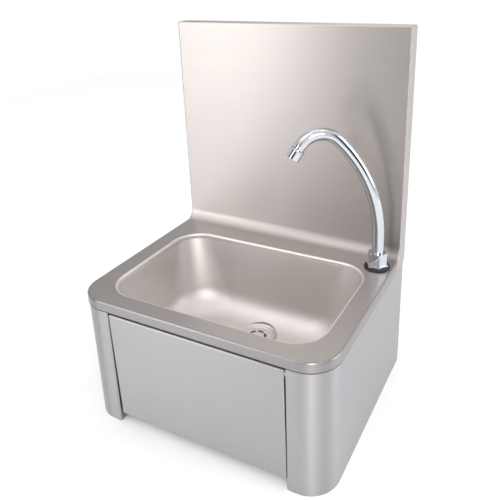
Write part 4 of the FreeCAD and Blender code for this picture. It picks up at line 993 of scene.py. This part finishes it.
def spout_path(tap, steps=40):
    """Centre line of the spout from its foot to the end of the hook, with its end direction."""
    flat = [(0, tap.foot), (0, tap.rise)]
    for radius, lean, sweep in ((tap.long_radius, 0, tap.long_sweep),
                                (tap.hook_radius, tap.long_sweep, tap.hook_sweep)):
        reach, height = flat[-1]
        for i in range(1, steps + 1):
            a = lean + sweep * i / steps
            flat.append((reach + radius * (math.cos(lean) - math.cos(a)),
                         height + radius * (math.sin(a) - math.sin(lean))))
    away = Vector((math.cos(tap.heading), math.sin(tap.heading), 0))
    foot = tap_axis()
    points = [foot + away * reach + UP * height for reach, height in flat]
    lean = tap.long_sweep + tap.hook_sweep
    return points, away * math.sin(lean) + UP * math.cos(lean)


class SINK_OT_spout(bpy.types.Operator):
    """Swan-neck spout: one bent tube and its drawn-in end"""
    bl_idname = "sink.spout"
    bl_label = "Spout"

    def execute(self, context):
        tap = context.scene.sink_tap
        points, direction = spout_path(tap)
        obj = pipe("swan_neck_spout", points, tap.tube, TUBE_FACETS)
        place_piece(obj, "spout", ["spout_tube"])
        run = tap.tip_run - tap.overhang
        inside, sunk, core = tap.tube * 0.999, -1 * MM, 0.1 * MM
        profile = [(core, sunk), (inside, sunk), (inside, 0), (tap.neck, tap.taper), (tap.neck, run),
                   (core, run)]
        tip = lathe("spout_tip", profile, TUBE_FACETS, points[-1], direction, finish("chrome_plate"))
        even_normals(tip)
        place_piece(tip, "spout", [])
        return {"FINISHED"}


class SINK_OT_aerator(bpy.types.Operator):
    """Aerator at the spout's tip"""
    bl_idname = "sink.aerator"
    bl_label = "Aerator"

    def execute(self, context):
        tap = context.scene.sink_tap
        points, direction = spout_path(tap)
        r, rim, run = tap.aerator / MM, tap.aerator_rim / MM, tap.aerator_length / MM
        bore = tap.neck / MM + 0.2
        # Rounded rim, plain sleeve, rounded lower edge and a lip inside it, in millimetres
        outside = [(bore, 0), (rim - 0.7, 0), (rim - 0.2, 0.2), (rim, 0.7), (rim, 1.7), (rim - 0.2, 2.2),
                   (r, 2.7), (r, run - 1), (r - 0.3, run - 0.3), (r - 1, run)]
        lip = [(bore - 0.6, run), (bore - 0.6, run - 1.5), (bore, run - 1.5)]
        profile = [(radius * MM, along * MM) for radius, along in outside + lip]
        start = points[-1] + direction * (tap.tip_run - tap.aerator_length)
        obj = lathe("aerator_sleeve", profile, TURNED_FACETS, start, direction, finish("chrome_plate"))
        even_normals(obj)
        place_piece(obj, "spout", ["aerator_shell"])
        return {"FINISHED"}


class SINK_OT_tap_washer(bpy.types.Operator):
    """Black rubber washer under the tap"""
    bl_idname = "sink.tap_washer"
    bl_label = "Tap washer"

    def execute(self, context):
        low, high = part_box("tap_washer")
        r = (high.x - low.x) / 2
        h = high.z - low.z
        bore, edge = 10.5 * MM, 1.2 * MM
        corner = (r - edge / 4, h - edge / 2.4)
        profile = [(bore, 0), (r, 0), (r, h - edge), corner, (r - edge, h), (bore, h)]
        start = ((low.x + high.x) / 2, (low.y + high.y) / 2, low.z)
        obj = lathe("rubber_tap_washer", profile, TURNED_FACETS, start, UP, finish("moulded_rubber"))
        even_normals(obj)
        place_piece(obj, "sink", ["tap_washer"])
        return {"FINISHED"}


class SINK_OT_riser(bpy.types.Operator):
    """Bent pipe from the valve to the tap"""
    bl_idname = "sink.riser"
    bl_label = "Riser pipe"

    inside_nut = 3 * MM     # end of the nut to the end of the pipe in it
    half_run = 75 * MM      # half of the straight run's length that is looked at

    def execute(self, context):
        valve = context.scene.sink_valve
        low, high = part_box("riser_pipe")
        r = valve.riser
        tap = tap_axis()
        start_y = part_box("riser_bottom_nut")[0].y + self.inside_nut
        run_y = self.run_y(low, high, r)
        z = low.z + r
        corners = [Vector((0, start_y, z)), Vector((0, run_y, z)), Vector((tap.x, run_y, z)),
                   Vector((tap.x, tap.y, z)), Vector((tap.x, tap.y, high.z))]
        bends = [valve.riser_first_bend, valve.riser_bend, valve.riser_bend]
        points = [corners[0]]
        for before, corner, after, bend in zip(corners, corners[1:], corners[2:], bends):
            points += self.bend(before, corner, after, bend)
        points.append(corners[-1])
        obj = pipe("bent_riser_pipe", points, r, RISER_FACETS)
        place_piece(obj, "sink", ["riser_pipe"])
        return {"FINISHED"}

    def run_y(self, low, high, r):
        """Place of the pipe's run across the sink, read from its own solid."""
        middle = (low.x + high.x) / 2
        verts = NODES["riser_pipe"].data.vertices
        near = [v.co.y for v in verts if abs(v.co.x - middle) < self.half_run]
        return max(near) - r if near else low.y + r

    def bend(self, before, corner, after, radius, steps=14):
        """Points of an arc at a right-angled corner."""
        one = (before - corner).normalized()
        two = (after - corner).normalized()
        centre = corner + (one + two) * radius
        return [centre - two * radius * math.cos(a) - one * radius * math.sin(a)
                for a in quarter_turn(steps)]


class SINK_OT_return_spring(bpy.types.Operator):
    """Compression spring inside the valve"""
    bl_idname = "sink.return_spring"
    bl_label = "Return spring"

    def execute(self, context):
        valve = context.scene.sink_valve
        low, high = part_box("return_spring")
        wire = valve.wire / 2
        radius = (high.x - low.x) / 2 - wire
        start = ((low.x + high.x) / 2, low.y + wire, (low.z + high.z) / 2)
        run = high.y - low.y - 2 * wire
        obj = helix("coiled_return_spring", start, (0, 1, 0), radius, run, valve.coils, wire, WIRE_FACETS,
                    finish("turned_steel"))
        place_piece(obj, "sink", ["return_spring"])
        return {"FINISHED"}


class SINK_OT_threads(bpy.types.Operator):
    """Thread ridges on the inlets, the waste tail and the tap's shank"""
    bl_idname = "sink.threads"
    bl_label = "Threads"

    sunk = 0.6     # centre of the ridge inside the shaft's surface, for its half depth

    def execute(self, context):
        valve = context.scene.sink_valve
        filter_low, filter_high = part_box("inlet_filters")
        half_filter = (filter_high.y - filter_low.y) / 2
        for side, name in ((-1, "hot_inlet_thread"), (1, "cold_inlet_thread")):
            start = (side * (filter_high.x - half_filter), (filter_low.y + filter_high.y) / 2,
                     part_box("valve_body")[0].z + valve.thread_depth)
            self.thread(valve, name, start, valve.inlet, valve.inlet_thread, "machined_brass", "brass")
        axis = drain_axis()
        start = (axis.x, axis.y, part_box("waste_tail")[0].z + valve.thread_depth)
        self.thread(valve, "waste_tail_thread", start, valve.tail, valve.tail_thread,
                    "moulded_nylon", "white_plastic")
        tap = tap_axis()
        nut_low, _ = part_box("tap_back_nut")
        start = (tap.x, tap.y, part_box("riser_top_nut")[1].z + valve.thread_depth)
        run = nut_low.z - start[2] - valve.thread_depth
        self.thread(valve, "tap_shank_thread", start, valve.shank, run, "chrome_plate", "chrome")
        return {"FINISHED"}

    def thread(self, valve, name, start, radius, run, material, slot):
        """One upright helical ridge, sunk more than half into its shaft."""
        wire = valve.thread_depth / 2
        turns = run / valve.thread_pitch
        middle = radius - wire * self.sunk
        obj = helix(name, start, UP, middle, run, turns, wire, RIDGE_FACETS, finish(material))
        place_piece(obj, "sink", [])


class SINK_OT_spot_welds(bpy.types.Operator):
    """Marks of the spot welds on the hidden side of the knee panel's stiffener"""
    bl_idname = "sink.spot_welds"
    bl_label = "Spot welds"

    in_row = 5
    from_edge = 5.5 * MM
    from_end = 20 * MM

    def execute(self, context):
        valve = context.scene.sink_valve
        low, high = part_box("panel_stiffener")
        lean = context.scene.sink_sheet.lean
        turn = leaned(hinge_point(), lean)
        flange_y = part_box("side_panel_right")[0].y + 2 * context.scene.sink_sheet.sheet
        points = []
        run = high.x - low.x - 2 * self.from_end
        for z in (low.z + self.from_edge, high.z - self.from_edge):
            for i in range(self.in_row):
                x = low.x + self.from_end + run * i / (self.in_row - 1)
                points.append(turn @ Vector((x, flange_y, z)))
        mesh = bpy.data.meshes.new("weld_places")
        mesh.from_pydata([tuple(p) for p in points], [], [])
        sizes = {"Radius": valve.weld_spot, "Height": valve.weld_height, "Tilt": lean - math.pi / 2}
        obj = grown("stiffener_spot_welds", mesh, marks_tree(finish("mill_304_sheet")), sizes)
        place_piece(obj, "knee_panel", [])
        return {"FINISHED"}


class SINK_OT_carried_over(bpy.types.Operator):
    """Finishes of the pieces that are shown as they were modelled in CAD"""
    bl_idname = "sink.carried_over"
    bl_label = "Valve, tap and waste pieces"

    finishes = {
        "mill_304_sheet": ["rear_crossbar", "valve_rail", "panel_stiffener"],
        "turned_steel": ["hinge_pins", "tap_clamp_plate"],
        "moulded_nylon": ["hinge_bushes", "inlet_filters", "spout_ring", "aerator_insert", "waste_tail"],
        "machined_brass": ["valve_body", "valve_cap", "valve_gland", "valve_disc", "valve_locknut",
                           "riser_bottom_nut", "riser_top_nut", "riser_olives", "tap_back_nut",
                           "spout_bush"],
        "moulded_rubber": ["gland_seal", "seat_washer", "spout_orings", "waste_seal", "waste_gasket"],
        "chrome_plate": ["valve_plunger", "tap_base", "spout_nut"],
        "polished_304": ["waste_flange", "waste_screw"],
    }

    def execute(self, context):
        for material, nodes in self.finishes.items():
            for node in nodes:
                obj = NODES[node]
                obj.data.materials.clear()
                obj.data.materials.append(finish(material))
                weld = obj.modifiers.new("join", "WELD")
                weld.merge_threshold = CAD_MERGE
                even_normals(obj)
        return {"FINISHED"}


class SINK_OT_stage(bpy.types.Operator):
    """Pale floor, soft studio light and the camera"""
    bl_idname = "sink.stage"
    bl_label = "Stage"

    least_light = 0.02     # the darkest that a patch can make the surroundings

    def execute(self, context):
        stage = context.scene.sink_stage
        self.floor()
        self.surroundings(context.scene, stage)
        for name, softbox in SOFTBOXES.items():
            self.softbox(f"{name}_light", getattr(stage, name), *softbox)
        self.camera(context.scene, stage)
        context.scene.view_settings.view_transform = "Standard"
        return {"FINISHED"}

    def floor(self):
        """Wide paper floor under the sink."""
        bm = bmesh.new()
        bmesh.ops.create_grid(bm, x_segments=1, y_segments=1, size=FLOOR_REACH)
        tones = bpy.context.scene.sink_colours
        material, _, _ = surface("paper_floor", tones.floor[:], 0.0, 0.9)
        obj = to_object("paper_floor", bm, material)

    def surroundings(self, scene, stage):
        """White light from all round with brighter and darker sides, behind a plain white backdrop."""
        world = bpy.data.worlds.new("studio")
        world.use_nodes = True
        scene.world = world
        tree = world.node_tree
        background = tree.nodes["Background"]
        background.inputs["Color"].default_value = (1, 1, 1, 1)
        facing = add(tree, "ShaderNodeTexCoord").outputs["Generated"]
        level = add(tree, "ShaderNodeValue").outputs[0]
        level.default_value = stage.sky
        for side in SIDES:
            level = self.side(tree, facing, level, *side)
        lit = add(tree, "ShaderNodeMath", {"operation": "MAXIMUM"}, {0: level, 1: self.least_light})
        tree.links.new(lit.outputs[0], background.inputs["Strength"])
        backdrop = add(tree, "ShaderNodeBackground", inputs={
            "Color": (1, 1, 1, 1), "Strength": stage.sky})
        seen = add(tree, "ShaderNodeLightPath").outputs["Is Camera Ray"]
        either = add(tree, "ShaderNodeMixShader", inputs={
            0: seen, 1: background.outputs[0], 2: backdrop.outputs[0]})
        tree.links.new(either.outputs[0], tree.nodes["World Output"].inputs["Surface"])

    def side(self, tree, facing, level, direction, reach, tall, strength):
        """Adds a soft patch of light or shade round a direction, out to an angle in degrees."""
        low = add(tree, "ShaderNodeVectorMath", {"operation": "MULTIPLY"}, {
            0: facing, 1: (1, 1, 1 / tall)})
        ahead = add(tree, "ShaderNodeVectorMath", {"operation": "NORMALIZE"}, {0: low.outputs["Vector"]})
        close = add(tree, "ShaderNodeVectorMath", {"operation": "DOT_PRODUCT"}, {
            0: ahead.outputs["Vector"], 1: Vector(direction).normalized()})
        patch = add(tree, "ShaderNodeMapRange", {"interpolation_type": "SMOOTHSTEP"}, {
            "Value": close.outputs["Value"], "From Min": math.cos(math.radians(reach)), "From Max": 1.0,
            "To Min": 0.0, "To Max": strength})
        total = add(tree, "ShaderNodeMath", {"operation": "ADD"}, {0: level, 1: patch.outputs["Result"]})
        return total.outputs[0]

    def softbox(self, name, power, place, target, width, height, tint):
        """Rectangular area light that faces a target."""
        light = bpy.data.lights.new(name, "AREA")
        light.shape = "RECTANGLE"
        light.size = width
        light.size_y = height
        light.energy = power
        light.color = tint
        obj = bpy.data.objects.new(name, light)
        bpy.context.scene.collection.objects.link(obj)
        obj.location = place
        obj.rotation_euler = (Vector(target) - Vector(place)).to_track_quat("-Z", "Y").to_euler()

    def camera(self, scene, stage):
        """Camera at the photograph's viewing angle."""
        ahead = math.cos(stage.pitch)
        forward = Vector((-math.sin(stage.yaw) * ahead, math.cos(stage.yaw) * ahead, -math.sin(stage.pitch)))
        level = Vector((math.cos(stage.yaw), math.sin(stage.yaw), 0))
        upright = level.cross(forward)
        right = level * math.cos(stage.roll) + upright * math.sin(stage.roll)
        up = upright * math.cos(stage.roll) - level * math.sin(stage.roll)
        data = bpy.data.cameras.new("camera")
        data.lens = stage.lens
        data.sensor_width = SENSOR
        data.shift_x, data.shift_y = CAMERA_SHIFT
        data.clip_end = VIEW_END
        obj = bpy.data.objects.new("camera", data)
        scene.collection.objects.link(obj)
        turn = Matrix((right, up, -forward)).transposed().to_4x4()
        obj.matrix_world = Matrix.Translation(CAMERA_PLACE) @ turn
        scene.camera = obj


OPERATORS = [SINK_OT_deck, SINK_OT_bowl, SINK_OT_side_panels, SINK_OT_knee_panel, SINK_OT_spout,
             SINK_OT_aerator, SINK_OT_tap_washer, SINK_OT_riser, SINK_OT_return_spring, SINK_OT_threads,
             SINK_OT_spot_welds, SINK_OT_carried_over, SINK_OT_stage]
SETTINGS = {"sink_sheet": SinkSheetSizes, "sink_bowl": SinkBowlSizes, "sink_tap": SinkTapSizes,
            "sink_valve": SinkValveSizes, "sink_colours": SinkColours, "sink_stage": SinkStage}


class SINK_PT_panel(bpy.types.Panel):
    """Buttons that build the sink, piece by piece"""
    bl_idname = "SINK_PT_panel"
    bl_label = "Hand wash sink"
    bl_space_type = "VIEW_3D"
    bl_region_type = "UI"
    bl_category = "Sink"

    def draw(self, context):
        for operator in OPERATORS:
            self.layout.operator(operator.bl_idname)


def register():
    """Registers the settings, the operators and the panel."""
    for name, group in SETTINGS.items():
        bpy.utils.register_class(group)
        setattr(bpy.types.Scene, name, bpy.props.PointerProperty(type=group))
    for operator in OPERATORS:
        bpy.utils.register_class(operator)
    bpy.utils.register_class(SINK_PT_panel)


def unregister():
    """Takes them out again."""
    bpy.utils.unregister_class(SINK_PT_panel)
    for operator in reversed(OPERATORS):
        bpy.utils.unregister_class(operator)
    for name, group in reversed(SETTINGS.items()):
        delattr(bpy.types.Scene, name)
        bpy.utils.unregister_class(group)


def main():
    """Builds every piece and the stage."""
    register()
    for operator in OPERATORS:
        group, name = operator.bl_idname.split(".")
        getattr(getattr(bpy.ops, group), name)()


if __name__ == "__main__":
    main()
